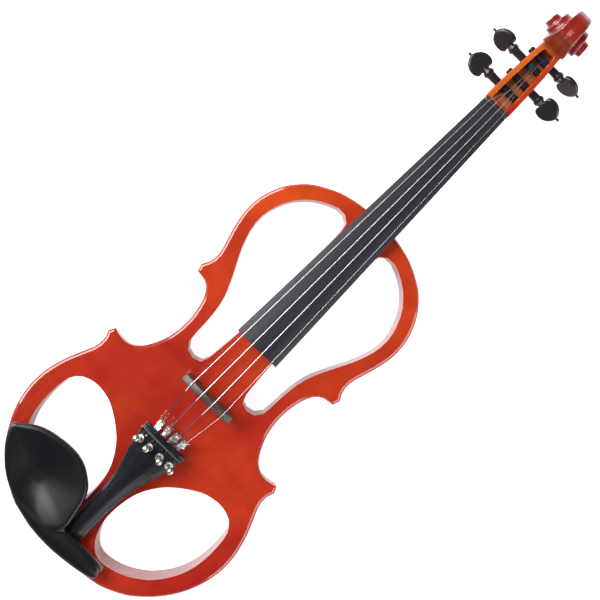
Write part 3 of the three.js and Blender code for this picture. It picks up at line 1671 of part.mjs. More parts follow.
function preampPillars() {
  const out = preampLength / 2 - preampPillarInset;
  return [-1, 1].map((side) => {
    const pillar = rod(preampPillarRadius, plateThickness / 2, preampZ - seatGap, fineSides);
    return pillar.translate(boardX, preampY + side * out, 0);
  });
}

function doorOutline(gap) {
  const half = doorWidth / 2 + gap;
  const x0 = batteryX - half;
  const x1 = batteryX + half;
  return rectangle(x0, x1, doorY - doorLength / 2 - gap, doorY + doorLength / 2 + gap, batteryEdge);
}

function doorPinY() {
  return doorY - doorLength / 2 + doorPinRadius + doorSideGap;
}

// Two short hinge pins at the tail edge of the door, or the sockets round them
function doorPins(gap) {
  return [-1, 1].map((side) => {
    const start = doorWidth / 2 - doorPinLength / 2;
    const end = doorWidth / 2 + doorPinLength / 2 + gap;
    const pin = alongX(rod(doorPinRadius + gap / 2, start, end, fineSides));
    if (side < 0) pin.rotateZ(Math.PI);
    return pin.translate(batteryX, doorPinY(), doorThickness / 2);
  });
}

function doorGeometry() {
  return join(plate(doorOutline(0), 0, doorThickness), ...doorPins(0));
}

function knobGeometry() {
  const low = knobBelowFace;
  const high = low + knobHeight;
  return turned([
    [0, low],
    [knobRadius - knobRound, low],
    [knobRadius, low + knobRound],
    [knobRadius, high],
    [potShaftRadius + seatGap, high],
    [potShaftRadius + seatGap, low + knobHeight / 2],
    [0, low + knobHeight / 2],
  ]);
}

function potGeometry() {
  const low = wellDepth + wellWall + seatGap;
  const shaftEnd = knobBelowFace + knobHeight / 2 + seatGap;
  return turned([
    [0, shaftEnd],
    [potShaftRadius, shaftEnd],
    [potShaftRadius, low],
    [potRadius, low],
    [potRadius, low + potHeight],
    [0, low + potHeight],
  ]);
}

function addControls() {
  add("control_plate", controlPlateGeometry(), blackPlastic);
  const rows = [
    ["volume", volumeKnobY],
    ["tone", toneKnobY],
  ];
  for (const [name, y] of rows) {
    add(`${name}_knob`, knobGeometry(), blackPlastic).position.set(knobX, y, 0);
    add(`${name}_pot`, potGeometry(), nickel).position.set(knobX, y, 0);
  }
  const bodyLow = wellDepth + wellWall + seatGap;
  const halfX = switchBodyWidth / 2;
  const halfY = switchBodyLength / 2;
  const caseBlock = block(-halfX, halfX, -halfY, halfY, bodyLow, bodyLow + switchBodyHeight);
  const slotX = (switchButtonWidth + switchTravel) / 2 + turnGap;
  const slotY = switchButtonLength / 2 + turnGap;
  const slot = block(-slotX, slotX, -slotY, slotY, bodyLow - cutOverrun, bodyLow + switchBodyHeight / 2);
  add("power_switch", cut(caseBlock, slot), blackPlastic).position.set(knobX, switchY, 0);
  const button = block(
    -slotX + turnGap,
    slotX - turnGap - switchTravel,
    -switchButtonLength / 2,
    switchButtonLength / 2,
    wellDepth - switchButtonRise,
    bodyLow + switchBodyHeight / 2 - turnGap,
  );
  add("switch_button", button, blackPlastic).position.set(knobX, switchY, 0);
  addPreamp();
  addBattery();
  plateScrewPlaces().forEach(([x, y], index) => {
    const screw = turned([
      [0, 0],
      [plateScrewHeadRadius, 0],
      [plateScrewHeadRadius, plateScrewHeadHeight - seatGap],
      [plateScrewRadius, plateScrewHeadHeight - seatGap],
      [plateScrewRadius, plateScrewLength],
      [0, plateScrewLength],
    ], fineSides);
    add(`plate_screw_${index + 1}`, screw, nickel).position.set(x, y, 0);
  });
}

function addPreamp() {
  const half = preampWidth / 2;
  const long = preampLength / 2;
  const top = preampZ + preampThickness;
  const base = block(-half, half, -long, long, preampZ, top);
  const middle = top - preampThickness / 2;
  const chip = block(-chipWidth / 2, chipWidth / 2, -chipLength, 0, middle, top + chipHeight);
  const can = rod(canRadius, middle, top + canHeight, fineSides);
  can.translate(0, preampLength / 4, 0);
  add("preamp_board", join(base, chip, can), boardGreen).position.set(boardX, preampY, 0);
}

function addBattery() {
  const low = doorThickness + batteryAboveDoor;
  const high = low + batteryThickness;
  const half = batteryWidth / 2;
  const outline = rectangle(-half, half, -batteryLength / 2, batteryLength / 2, batteryEdge);
  add("battery", plate(outline, low, high), batteryCase).position.set(batteryX, batteryY, 0);
  const snapY = batteryY + batteryLength / 2 + seatGap;
  const middle = (low + high) / 2;
  const snap = block(
    -snapWidth / 2,
    snapWidth / 2,
    snapY,
    snapY + snapThickness,
    middle - snapHeight / 2,
    middle + snapHeight / 2,
  );
  add("battery_snap", snap, blackPlastic).position.set(batteryX, 0, 0);
  add("battery_door", doorGeometry(), blackPlastic);
}

// A jack: flange, barrel and bore, its mouth at the profile's top
function jackGeometry(boreRadius, boreDepth, barrelRadius, barrelLength, flangeRadius) {
  const mouth = jackSeatX;
  const inner = mouth - barrelLength;
  return alongX(turned([
    [0, inner],
    [barrelRadius, inner],
    [barrelRadius, mouth - jackFlangeThickness],
    [flangeRadius, mouth - jackFlangeThickness],
    [flangeRadius, mouth],
    [boreRadius, mouth],
    [boreRadius, mouth - boreDepth],
    [0, mouth - boreDepth],
  ]));
}

function addJacks() {
  const output = jackGeometry(
    outputBoreRadius,
    outputBoreDepth,
    outputBarrelRadius,
    outputBarrelLength,
    outputFlangeRadius,
  );
  add("output_jack", output, nickel).position.set(0, jackY, jackZ);
  const headphone = jackGeometry(
    headphoneBoreRadius,
    headphoneBoreDepth,
    headphoneBarrelRadius,
    headphoneBarrelLength,
    headphoneFlangeRadius,
  );
  headphone.rotateZ(Math.PI);
  add("headphone_jack", headphone, nickel).position.set(0, jackY, jackZ);
}

// The pickup's lead: down through the body and across the bay's ceiling to the board
function pickupLeadPath() {
  const y = bridgeY - pickupWidth / 2;
  const radius = pickupLeadDiameter / 2;
  const topZ = preampZ + preampThickness + radius + seatGap;
  const runZ = topZ + pickupLeadRise;
  const runX = pickupLeadX + pickupLeadDiameter;
  const boardY = preampY + preampLength / 2;
  return [
    new THREE.Vector3(pickupLeadX, y, bodyThickness - pickupDepth - seatGap),
    new THREE.Vector3(pickupLeadX, y, bayDepth - radius),
    new THREE.Vector3(runX, y - pickupLeadDiameter, runZ),
    new THREE.Vector3(runX, boardY + pickupLeadDiameter, runZ),
    new THREE.Vector3(boardX - preampWidth / 4, boardY - pickupLeadRise, topZ),
    new THREE.Vector3(boardX - preampWidth / 4, boardY - pickupLeadRise * 2, topZ),
  ];
}

add("body", bodyGeometry(), redLacquer);
add("neck", neckGeometry(), orangeLacquer);
add("fingerboard", fingerboardGeometry(), ebony);
add("nut", nutGeometry(), ebony);
addPegs();
add("bridge", bridgeGeometry(), darkRosewood);
add("pickup_strip", pickupGeometry(), brass);
add("tailpiece", tailpieceGeometry(), ebony);
addTuners();
addStrings();
add("saddle", saddleGeometry(), ebony);
add("end_button", buttonGeometry(), ebony);
add("tail_gut", tube(gutPath(), gutDiameter / 2, 8), blackNylon);
addChinRest();
addClamp();
addControls();
addJacks();
add("pickup_lead", tube(pickupLeadPath(), pickupLeadDiameter / 2, 6), blackNylon);

export default group;
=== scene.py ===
"""Looks for a frame-bodied electric violin: lacquer, ebony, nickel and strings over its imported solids."""

import json
import math

import bmesh
import bpy
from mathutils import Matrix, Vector

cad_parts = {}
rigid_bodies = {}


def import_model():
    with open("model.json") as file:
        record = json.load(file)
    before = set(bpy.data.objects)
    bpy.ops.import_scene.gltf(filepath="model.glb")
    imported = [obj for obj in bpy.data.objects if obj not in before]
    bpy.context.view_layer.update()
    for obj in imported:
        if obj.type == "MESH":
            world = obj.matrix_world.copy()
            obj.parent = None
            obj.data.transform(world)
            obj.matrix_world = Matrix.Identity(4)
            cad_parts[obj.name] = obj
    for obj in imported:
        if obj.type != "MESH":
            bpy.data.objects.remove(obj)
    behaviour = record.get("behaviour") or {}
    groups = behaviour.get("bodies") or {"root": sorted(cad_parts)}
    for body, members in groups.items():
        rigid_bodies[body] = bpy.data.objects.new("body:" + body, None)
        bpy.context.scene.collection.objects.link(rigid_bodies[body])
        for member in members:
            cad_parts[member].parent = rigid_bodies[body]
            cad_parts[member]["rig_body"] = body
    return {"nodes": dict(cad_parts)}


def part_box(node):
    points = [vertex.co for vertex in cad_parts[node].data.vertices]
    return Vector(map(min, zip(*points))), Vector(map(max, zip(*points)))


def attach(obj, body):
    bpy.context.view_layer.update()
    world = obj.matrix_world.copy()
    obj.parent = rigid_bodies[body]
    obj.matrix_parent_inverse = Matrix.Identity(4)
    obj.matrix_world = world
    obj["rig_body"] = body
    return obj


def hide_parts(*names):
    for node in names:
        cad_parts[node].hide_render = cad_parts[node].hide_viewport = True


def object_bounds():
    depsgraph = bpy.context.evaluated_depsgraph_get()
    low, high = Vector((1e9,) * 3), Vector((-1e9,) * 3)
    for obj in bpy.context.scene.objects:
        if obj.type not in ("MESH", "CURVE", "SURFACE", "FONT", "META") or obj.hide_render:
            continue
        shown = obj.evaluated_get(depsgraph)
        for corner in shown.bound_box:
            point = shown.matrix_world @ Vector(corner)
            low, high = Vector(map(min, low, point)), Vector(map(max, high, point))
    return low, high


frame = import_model()
cad_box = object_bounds()

# Body: one maple plank, sawn through with four windows so that a rim and a centre beam are
# left. Its front edge is eased and its back edge rounded over, and it is sprayed with a
# red-orange lacquer that is rubbed out to a gloss.


def put(tree, kind, feeds=None, **settings):
    """Adds a node, sets it up, and feeds its sockets from values or from other sockets."""
    node = tree.nodes.new(kind)
    for name, value in settings.items():
        setattr(node, name, value)
    for key, value in (feeds or {}).items():
        if isinstance(value, bpy.types.NodeSocket):
            tree.links.new(value, node.inputs[key])
        else:
            node.inputs[key].default_value = value
    return node


def noise(tree, place, scale, detail=2.0):
    """A cloudy value from 0 to 1, with a number of clouds per metre."""
    feeds = {"Vector": place, "Scale": scale, "Detail": detail}
    return put(tree, "ShaderNodeTexNoise", feeds).outputs["Fac"]


def bumped(tree, height, strength, distance):
    """A normal that a height tips, where a height of 1 stands a distance in metres above 0."""
    feeds = {"Height": height, "Strength": strength, "Distance": distance}
    return put(tree, "ShaderNodeBump", feeds).outputs["Normal"]


def reckon(tree, operation, first, second=0.0, third=0.0, clamp=False):
    """One step of arithmetic on values or sockets."""
    node = put(tree, "ShaderNodeMath", {0: first, 1: second, 2: third}, operation=operation)
    node.use_clamp = clamp
    return node.outputs[0]


def blended(tree, share, first, second, mode="MIX"):
    """Two colours mixed by a share."""
    feeds = {0: share, 6: first, 7: second}
    return put(tree, "ShaderNodeMix", feeds, data_type="RGBA", blend_type=mode).outputs[2]


def toned(tree, colour, tone):
    """A colour made darker or lighter by a value that changes over the surface."""
    grey = put(tree, "ShaderNodeCombineColor", {0: tone, 1: tone, 2: tone})
    return blended(tree, 1.0, colour, grey.outputs[0], "MULTIPLY")


def new_group(name, inputs, outputs):
    """An empty shader group with its named sockets, and its two end nodes."""
    group = bpy.data.node_groups.new(name, "ShaderNodeTree")
    for socket, kind, value in inputs:
        made = group.interface.new_socket(socket, in_out="INPUT", socket_type=kind)
        if value is not None:
            made.default_value = value
    for socket, kind in outputs:
        group.interface.new_socket(socket, in_out="OUTPUT", socket_type=kind)
    return group, group.nodes.new("NodeGroupInput"), group.nodes.new("NodeGroupOutput")


def make_grain_group():
    """Wood grain that runs along Y: fine lines, open pores, and the figure across them."""
    group, given, out = new_group(
        "wood grain",
        [
            ("Vector", "NodeSocketVector", None),
            ("Lines per metre", "NodeSocketFloat", 900.0),
            ("Figure per metre", "NodeSocketFloat", 60.0),
        ],
        [("Lines", "NodeSocketFloat"), ("Pores", "NodeSocketFloat"), ("Figure", "NodeSocketFloat")],
    )
    place, per_metre = given.outputs["Vector"], given.outputs["Lines per metre"]
    along = put(group, "ShaderNodeVectorMath", {0: place, 1: (1, 0.04, 1)}, operation="MULTIPLY")
    lines = noise(group, along.outputs[0], per_metre, 5.0)
    pores = put(group, "ShaderNodeTexVoronoi", {"Vector": along.outputs[0], "Scale": per_metre})
    across = put(group, "ShaderNodeVectorMath", {0: place, 1: (0.35, 1, 0.35)}, operation="MULTIPLY")
    figure = noise(group, across.outputs[0], given.outputs["Figure per metre"])
    open_pores = reckon(group, "LESS_THAN", pores.outputs["Distance"], 0.16)
    group.links.new(lines, out.inputs["Lines"])
    group.links.new(open_pores, out.inputs["Pores"])
    group.links.new(figure, out.inputs["Figure"])
    return group


def make_handling_group():
    """What hands and a cloth leave on a finish: broad cloudy smears and fine rubbing."""
    group, given, out = new_group(
        "handling",
        [
            ("Vector", "NodeSocketVector", None),
            ("Lowest", "NodeSocketFloat", 0.1),
            ("Highest", "NodeSocketFloat", 0.2),
        ],
        [("Roughness", "NodeSocketFloat"), ("Smears", "NodeSocketFloat")],
    )
    broad = noise(group, given.outputs["Vector"], 26.0, 3.0)
    fine = noise(group, given.outputs["Vector"], 420.0, 4.0)
    both = reckon(group, "MULTIPLY", fine, 0.35)
    smears = reckon(group, "MULTIPLY_ADD", broad, 0.65, both, clamp=True)
    spread = reckon(group, "SUBTRACT", given.outputs["Highest"], given.outputs["Lowest"])
    rough = reckon(group, "MULTIPLY_ADD", smears, spread, given.outputs["Lowest"])
    group.links.new(rough, out.inputs["Roughness"])
    group.links.new(smears, out.inputs["Smears"])
    return group


wood_grain = make_grain_group()
handling = make_handling_group()


def new_material(name):
    """A material with its shader, and the object's own coordinates."""
    material = bpy.data.materials.new(name)
    material.use_nodes = True
    tree = material.node_tree
    shader = tree.nodes["Principled BSDF"]
    place = put(tree, "ShaderNodeTexCoord").outputs["Object"]
    return material, tree, shader, place


def grain_in(tree, place, lines, figure):
    """The wood grain in a material, with its lines and its figure counted per metre."""
    feeds = {"Vector": place, "Lines per metre": lines, "Figure per metre": figure}
    return put(tree, "ShaderNodeGroup", feeds, node_tree=wood_grain).outputs


def handling_in(tree, place, lowest, highest):
    """The handling in a material, with the roughness that it runs between."""
    feeds = {"Vector": place, "Lowest": lowest, "Highest": highest}
    return put(tree, "ShaderNodeGroup", feeds, node_tree=handling).outputs


def ripple(tree, place, scale, strength, distance):
    """A fine unevenness of a sprayed or moulded face, as a normal."""
    return bumped(tree, noise(tree, place, scale), strength, distance)


def warmth_over(tree, place, corner, turned_to, reach):
    """0 to 1 along a direction in the front's plane, from a corner over a reach in metres."""
    offset = put(tree, "ShaderNodeVectorMath", {0: place, 1: corner}, operation="SUBTRACT")
    feeds = {0: offset.outputs[0], 1: turned_to}
    along = put(tree, "ShaderNodeVectorMath", feeds, operation="DOT_PRODUCT")
    return reckon(tree, "DIVIDE", along.outputs["Value"], reach, clamp=True)


def body_lacquer():
    """Red-orange lacquer, warmer towards the neck, with the maple's figure under it."""
    material, tree, shader, place = new_material("body lacquer")
    grain = grain_in(tree, place, 700.0, 45.0)
    feeds = {"Vector": place, "Scale": 17.0, "Detail": 3.0, "Roughness": 0.55}
    clouds = put(tree, "ShaderNodeTexNoise", feeds)
    warm = warmth_over(tree, place, corner=(0.1, -0.17, 0), turned_to=(-0.55, 0.83, 0), reach=0.4)
    cloudy = reckon(tree, "MULTIPLY_ADD", clouds.outputs["Fac"], 1.1, -0.52)
    mixed = reckon(tree, "MULTIPLY_ADD", warm, 0.54, cloudy, clamp=True)
    colour = blended(tree, mixed, (0.4, 0.008, 0.011, 1), (0.82, 0.092, 0.009, 1))
    figure = reckon(tree, "MULTIPLY_ADD", grain["Figure"], 0.42, 0.77)
    lines = reckon(tree, "MULTIPLY_ADD", grain["Lines"], 0.34, 0.82)
    wooded = toned(tree, colour, reckon(tree, "MULTIPLY", figure, lines))
    tree.links.new(wooded, shader.inputs["Base Color"])
    rubbed = handling_in(tree, place, 0.16, 0.3)
    tree.links.new(rubbed["Roughness"], shader.inputs["Roughness"])
    shader.inputs["Coat Weight"].default_value = 1.0
    shader.inputs["Coat Roughness"].default_value = 0.05
    shader.inputs["Specular IOR Level"].default_value = 0.15
    tree.links.new(ripple(tree, place, 240.0, 0.01, 0.0002), shader.inputs["Normal"])
    return material


def rough_out(node, name):
    """A new piece with a CAD solid's shape, its loose triangles joined up."""
    mesh = frame["nodes"][node].data.copy()
    mesh.name = name
    shape = bmesh.new()
    shape.from_mesh(mesh)
    bmesh.ops.remove_doubles(shape, verts=shape.verts, dist=2e-6)
    shape.to_mesh(mesh)
    shape.free()
    piece = bpy.data.objects.new(name, mesh)
    bpy.context.scene.collection.objects.link(piece)
    return piece


def joined_flat(piece):
    """Joins the triangles of each flat face of a piece."""
    shape = bmesh.new()
    shape.from_mesh(piece.data)
    bmesh.ops.dissolve_limit(shape, angle_limit=math.radians(0.6), verts=shape.verts, edges=shape.edges)
    shape.to_mesh(piece.data)
    shape.free()
    return piece


def eased(piece, edge, segments=2, angle=32):
    """Eases the edges of a piece that are sharper than an angle in degrees."""
    bevel = piece.modifiers.new("eased edges", "BEVEL")
    bevel.width = edge
    bevel.segments = segments
    bevel.limit_method = "ANGLE"
    bevel.angle_limit = math.radians(angle)
    bevel.harden_normals = True
    return piece


def bevelled(piece, edge, segments=2, angle=32):
    """Joins flat faces and eases the edges between them by a small width in metres."""
    joined_flat(piece)
    piece.data.shade_smooth()
    return eased(piece, edge, segments, angle)


def make_plain(piece):
    """Fixes a piece's modifiers in its mesh."""
    depsgraph = bpy.context.evaluated_depsgraph_get()
    plain = bpy.data.meshes.new_from_object(piece.evaluated_get(depsgraph))
    piece.modifiers.clear()
    piece.data = plain
    return piece


def mount(piece, material, slot, *nodes):
    """Finishes a piece, and puts it on the body of the CAD nodes that it stands for."""
    make_plain(piece)
    piece.data.materials.clear()
    piece.data.materials.append(material)
    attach(piece, frame["nodes"][nodes[0]]["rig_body"])
    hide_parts(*nodes)
    return piece


def sanded_rim(piece, top, low, inward, middle_down, edge_down):
    """Sands the sawn chamfer along the outline's front edge over to a wider one of two slopes."""
    near = 1e-5
    shape = bmesh.new()
    shape.from_mesh(piece.data)
    slanted = []
    for e in shape.edges:
        heights = sorted(v.co.z for v in e.verts)
        if abs(heights[0] - low) < near and abs(heights[1] - top) < near:
            slanted.append(e)
    ends = {tuple(v.co) for e in slanted for v in e.verts}
    bmesh.ops.subdivide_edges(shape, edges=slanted, cuts=1)
    shape.normal_update()
    halfway = (top + low) / 2
    moves = []
    for v in shape.verts:
        out = v.normal.xy.normalized() * inward
        if abs(v.co.z - halfway) < near:
            moves.append((v, v.co.xy - out / 2, top - middle_down))
        elif tuple(v.co) in ends and v.co.z > halfway:
            moves.append((v, v.co.xy - out, top))
        elif tuple(v.co) in ends:
            moves.append((v, v.co.xy, top - edge_down))
    for v, flat, z in moves:
        v.co = (flat.x, flat.y, z)
    shape.to_mesh(piece.data)
    shape.free()
    return piece


plank = rough_out("body", "body_plank")
sanded_rim(plank, top=0.03, low=0.0286, inward=0.0011, middle_down=0.0006, edge_down=0.0019)
bevelled(plank, edge=0.0003, angle=16)
level = plank.modifiers.new("level faces", "WEIGHTED_NORMAL")
level.weight = 100
mount(plank, body_lacquer(), "red_lacquer", "body")

# Neck: maple, its heel let into the body, with the pegbox hollowed out of it and the scroll
# carved at its end. It is sprayed with the body's lacquer, and the hollow is left bare. The
# carving is soft at its edges under the lacquer.

SCROLL_FROM, SCROLL_FULL = 0.388, 0.404
# the throat's place along Y, and the distances from it within which its painted shade is full and beyond
# which it is gone
THROAT_Y, THROAT_DARK, THROAT_CLEAR = 0.3985, 0.003, 0.009
HOLLOW_HALF, HOLLOW_FROM, HOLLOW_TO = 0.0072, 0.3312, 0.3915
# heights at Y 0 of the hollow's edge and floor, and how much they change per metre of Y
HOLLOW_EDGE, HOLLOW_EDGE_SLOPE = 0.0775, -0.145
HOLLOW_FLOOR, HOLLOW_FLOOR_SLOPE = 0.0917, -0.219
FLUTED_HALF = 0.0115


def faded(tree, value, first, last):
    """0 to 1 as a value goes from a first to a last one, slow at both ends."""
    feeds = {"Value": value, "From Min": first, "From Max": last}
    return put(tree, "ShaderNodeMapRange", feeds, interpolation_type="SMOOTHSTEP").outputs[0]


def in_hollow(tree, apart, side):
    """1 inside the pegbox's hollow, whose edge and floor both fall towards the scroll."""
    edge = reckon(tree, "MULTIPLY_ADD", apart["Y"], HOLLOW_EDGE_SLOPE, HOLLOW_EDGE)
    floor = reckon(tree, "MULTIPLY_ADD", apart["Y"], HOLLOW_FLOOR_SLOPE, HOLLOW_FLOOR)
    mask = reckon(tree, "LESS_THAN", side, HOLLOW_HALF)
    for kind, axis, limit in (
        ("GREATER_THAN", "Y", HOLLOW_FROM),
        ("LESS_THAN", "Y", HOLLOW_TO),
        ("LESS_THAN", "Z", edge),
        ("GREATER_THAN", "Z", floor),
    ):
        mask = reckon(tree, "MULTIPLY", mask, reckon(tree, kind, apart[axis], limit))
    return mask


def neck_lacquer():
    """Red lacquer, painted lighter orange towards the bass side as if lit from there, with a painted shade
    in the throat and bare maple in the pegbox.
    """
    material, tree, shader, place = new_material("neck lacquer")
    grain = grain_in(tree, place, 800.0, 90.0)
    apart = put(tree, "ShaderNodeSeparateXYZ", {0: place}).outputs
    side = reckon(tree, "ABSOLUTE", apart["X"])
    # painted light: the bass side of the neck and pegbox is painted brighter orange, where the light from
    # the left falls
    across = warmth_over(tree, place, corner=(0.016, 0.36, 0), turned_to=(-1, 0.12, 0), reach=0.03)
    cloudy = reckon(tree, "MULTIPLY_ADD", noise(tree, place, 60.0), 0.5, -0.25)
    mixed = reckon(tree, "ADD", cloudy, across, clamp=True)
    colour = blended(tree, mixed, (0.5, 0.014, 0.009, 1), (0.84, 0.16, 0.012, 1))
    scroll = faded(tree, apart["Y"], SCROLL_FROM, SCROLL_FULL)
    colour = blended(tree, scroll, colour, (0.36, 0.02, 0.01, 1))
    # painted shade: the throat where the scroll meets the pegbox is darkened, as if in shadow
    from_throat = reckon(tree, "ABSOLUTE", reckon(tree, "SUBTRACT", apart["Y"], THROAT_Y))
    painted_throat_shade = reckon(tree, "MULTIPLY", faded(tree, from_throat, THROAT_CLEAR, THROAT_DARK), 0.65)
    colour = blended(tree, painted_throat_shade, colour, (0.16, 0.028, 0.008, 1))
    colour = toned(tree, colour, reckon(tree, "MULTIPLY_ADD", grain["Figure"], 0.4, 0.8))
    raw_tone = reckon(tree, "MULTIPLY_ADD", grain["Lines"], 0.5, 0.72)
    raw = toned(tree, (0.62, 0.19, 0.045, 1), raw_tone)
    bare = in_hollow(tree, apart, side)
    tree.links.new(blended(tree, bare, colour, raw), shader.inputs["Base Color"])
    rubbed = handling_in(tree, place, 0.16, 0.3)
    rough = reckon(tree, "MULTIPLY_ADD", bare, 0.4, rubbed["Roughness"])
    tree.links.new(rough, shader.inputs["Roughness"])
    tree.links.new(reckon(tree, "SUBTRACT", 1.0, bare), shader.inputs["Coat Weight"])
    shader.inputs["Coat Roughness"].default_value = 0.05
    shader.inputs["Specular IOR Level"].default_value = 0.3
    feeds = {"Vector": place, "Scale": 31.0, "Phase Offset": math.pi / 2}
    flutes = put(tree, "ShaderNodeTexWave", feeds, bands_direction="X")
    band = reckon(tree, "MULTIPLY", reckon(tree, "LESS_THAN", side, FLUTED_HALF), scroll)
    feeds = {
        "Height": reckon(tree, "MULTIPLY", flutes.outputs["Fac"], band),
        "Strength": 0.9,
        "Distance": 0.0014,
        "Normal": ripple(tree, place, 260.0, 0.06, 0.0004),
    }
    tree.links.new(put(tree, "ShaderNodeBump", feeds).outputs["Normal"], shader.inputs["Normal"])
    return material


def soften(piece, grid, passes):
    """Rounds a carved or moulded piece's edges: its skin is rebuilt on a fine grid and relaxed."""
    remesh = piece.modifiers.new("fine skin", "REMESH")
    remesh.mode = "VOXEL"
    remesh.voxel_size = grid
    remesh.use_smooth_shade = True
    relax = piece.modifiers.new("relax", "SMOOTH")
    relax.factor = 0.5
    relax.iterations = passes
    return piece


def rounded_scroll(piece):
    """Relaxes the scroll's turns further than the rest, where the gouge left them rounder."""
    make_plain(piece)
    scroll = piece.vertex_groups.new(name="scroll")
    scroll.add([v.index for v in piece.data.vertices if v.co.y > THROAT_Y], 1.0, "REPLACE")
    relax = piece.modifiers.new("round scroll", "SMOOTH")
    relax.vertex_group = scroll.name
    relax.iterations = 14
    return piece


neck = rounded_scroll(soften(rough_out("neck", "neck_and_scroll"), grid=0.0006, passes=4))
mount(neck, neck_lacquer(), "orange_lacquer", "neck")

# Fingerboard and nut: ebony, planed to an arch across. The board is glued to the neck and
# stands free over the body, and the nut at its end spaces the strings. The hand keeps it dull.


def ebony(name, colour, lowest, highest, lines, gloss=0.5):
    """Near-black wood with faint pores, satin to dull."""
    material, tree, shader, place = new_material(name)
    grain = grain_in(tree, place, lines, 50.0)
    tone = reckon(tree, "MULTIPLY_ADD", grain["Lines"], 0.7, 0.62)
    tone = reckon(tree, "MULTIPLY_ADD", grain["Pores"], -0.18, tone)
    tree.links.new(toned(tree, (*colour, 1), tone), shader.inputs["Base Color"])
    rubbed = handling_in(tree, place, lowest, highest)
    tree.links.new(rubbed["Roughness"], shader.inputs["Roughness"])
    shader.inputs["Specular IOR Level"].default_value = gloss
    tree.links.new(bumped(tree, grain["Lines"], 0.12, 0.0001), shader.inputs["Normal"])
    return material


def new_tree(name, inputs):
    """An empty shape tree with its named inputs, a geometry output, and the inputs' sockets."""
    tree = bpy.data.node_groups.new(name, "GeometryNodeTree")
    for socket, kind in inputs:
        tree.interface.new_socket(socket, in_out="INPUT", socket_type=f"NodeSocket{kind}")
    tree.interface.new_socket("Geometry", in_out="OUTPUT", socket_type="NodeSocketGeometry")
    return tree, put(tree, "NodeGroupInput").outputs


def finish_tree(tree, geometry, material):
    """Ends a shape tree with real, smooth and painted geometry."""
    smooth = put(tree, "GeometryNodeSetShadeSmooth", {"Geometry": geometry})
    real = put(tree, "GeometryNodeRealizeInstances", {"Geometry": smooth.outputs["Geometry"]})
    feeds = {"Geometry": real.outputs["Geometry"], "Material": material}
    painted = put(tree, "GeometryNodeSetMaterial", feeds)
    put(tree, "NodeGroupOutput", {"Geometry": painted.outputs["Geometry"]})
    return tree


def give(piece, tree, **values):
    """Puts a shape tree on a piece, and sets its inputs through their sockets' identifiers."""
    modifier = piece.modifiers.new(tree.name, "NODES")
    modifier.node_group = tree
    for item in tree.interface.items_tree:
        name = item.name.lower().replace(" ", "_")
        if item.in_out == "INPUT" and name in values:
            modifier[item.identifier] = values[name]
    return piece


def new_piece(name, points=(), edges=()):
    """A piece at the origin that holds points and the edges between them."""
    mesh = bpy.data.meshes.new(name)
    mesh.from_pydata(points, edges, [])
    piece = bpy.data.objects.new(name, mesh)
    bpy.context.scene.collection.objects.link(piece)
    return piece


def make_board_tree():
    """A block that tapers along Y, rises towards the body, and is arched across by one radius."""
    ends = ("Y", "Half width", "Low")
    inputs = [(f"{part} at {end}", "Float") for end in ("body", "nut") for part in ends]
    inputs += [("Edge height", "Float"), ("Arch radius", "Float"), ("Material", "Material")]
    tree, given = new_tree("arched board", inputs)
    fine = {"Size": (1, 1, 1), "Vertices X": 33, "Vertices Y": 24, "Vertices Z": 3}
    block = put(tree, "GeometryNodeMeshCube", fine)
    apart = put(tree, "ShaderNodeSeparateXYZ", {0: put(tree, "GeometryNodeInputPosition").outputs[0]})
    along = reckon(tree, "ADD", apart.outputs["Y"], 0.5)
    at = {}
    for part in ends:
        span = reckon(tree, "SUBTRACT", given[f"{part} at nut"], given[f"{part} at body"])
        at[part] = reckon(tree, "MULTIPLY_ADD", span, along, given[f"{part} at body"])
    x = reckon(tree, "MULTIPLY", reckon(tree, "MULTIPLY", apart.outputs["X"], 2.0), at["Half width"])
    squared = reckon(tree, "MULTIPLY", given["Arch radius"], given["Arch radius"])
    crown = reckon(tree, "SQRT", reckon(tree, "SUBTRACT", squared, reckon(tree, "MULTIPLY", x, x)))
    edge = reckon(tree, "MULTIPLY", at["Half width"], at["Half width"])
    edge = reckon(tree, "SQRT", reckon(tree, "SUBTRACT", squared, edge))
    height = reckon(tree, "ADD", given["Edge height"], reckon(tree, "SUBTRACT", crown, edge))
    z = reckon(tree, "MULTIPLY_ADD", reckon(tree, "ADD", apart.outputs["Z"], 0.5), height, at["Low"])
    place = put(tree, "ShaderNodeCombineXYZ", {0: x, 1: at["Y"], 2: z})
    feeds = {"Geometry": block.outputs["Mesh"], "Position": place.outputs[0]}
    shaped = put(tree, "GeometryNodeSetPosition", feeds)
    return finish_tree(tree, shaped.outputs["Geometry"], given["Material"])


board_ebony = ebony("fingerboard ebony", (0.034, 0.031, 0.044), 0.36, 0.48, 1500.0, gloss=0.22)
board = give(
    new_piece("fingerboard_ebony"),
    make_board_tree(),
    y_at_body=0.054,
    y_at_nut=0.324,
    half_width_at_body=0.021,
    half_width_at_nut=0.012,
    low_at_body=0.0464,
    low_at_nut=0.032,
    edge_height=0.005,
    arch_radius=0.042,
    material=board_ebony,
)
mount(eased(board, edge=0.0003), board_ebony, "fingerboard_black", "fingerboard")
nut_ebony = ebony("nut ebony", (0.05, 0.046, 0.055), 0.3, 0.45, 1500.0)
mount(bevelled(rough_out("nut", "nut_ebony"), edge=0.0003), nut_ebony, "ebony", "nut")

# Pegs: turned hardwood stained black, each a tapered shank with a collar, a flat heart-shaped
# head and a small ball at its end. They are worn to a satin by the fingers.

peg_black = ebony("peg wood", (0.016, 0.012, 0.013), 0.26, 0.42, 1200.0)
for letter in "gdae":
    peg = soften(rough_out(f"peg_{letter}", f"peg_{letter}_turned"), grid=0.00035, passes=3)
    mount(peg, peg_black, "peg_wood", f"peg_{letter}")

# Bridge: a thick block of streaky dark wood that stands on the body on two feet, its top cut
# to the fingerboard's arch. A piezo strip lies under it.


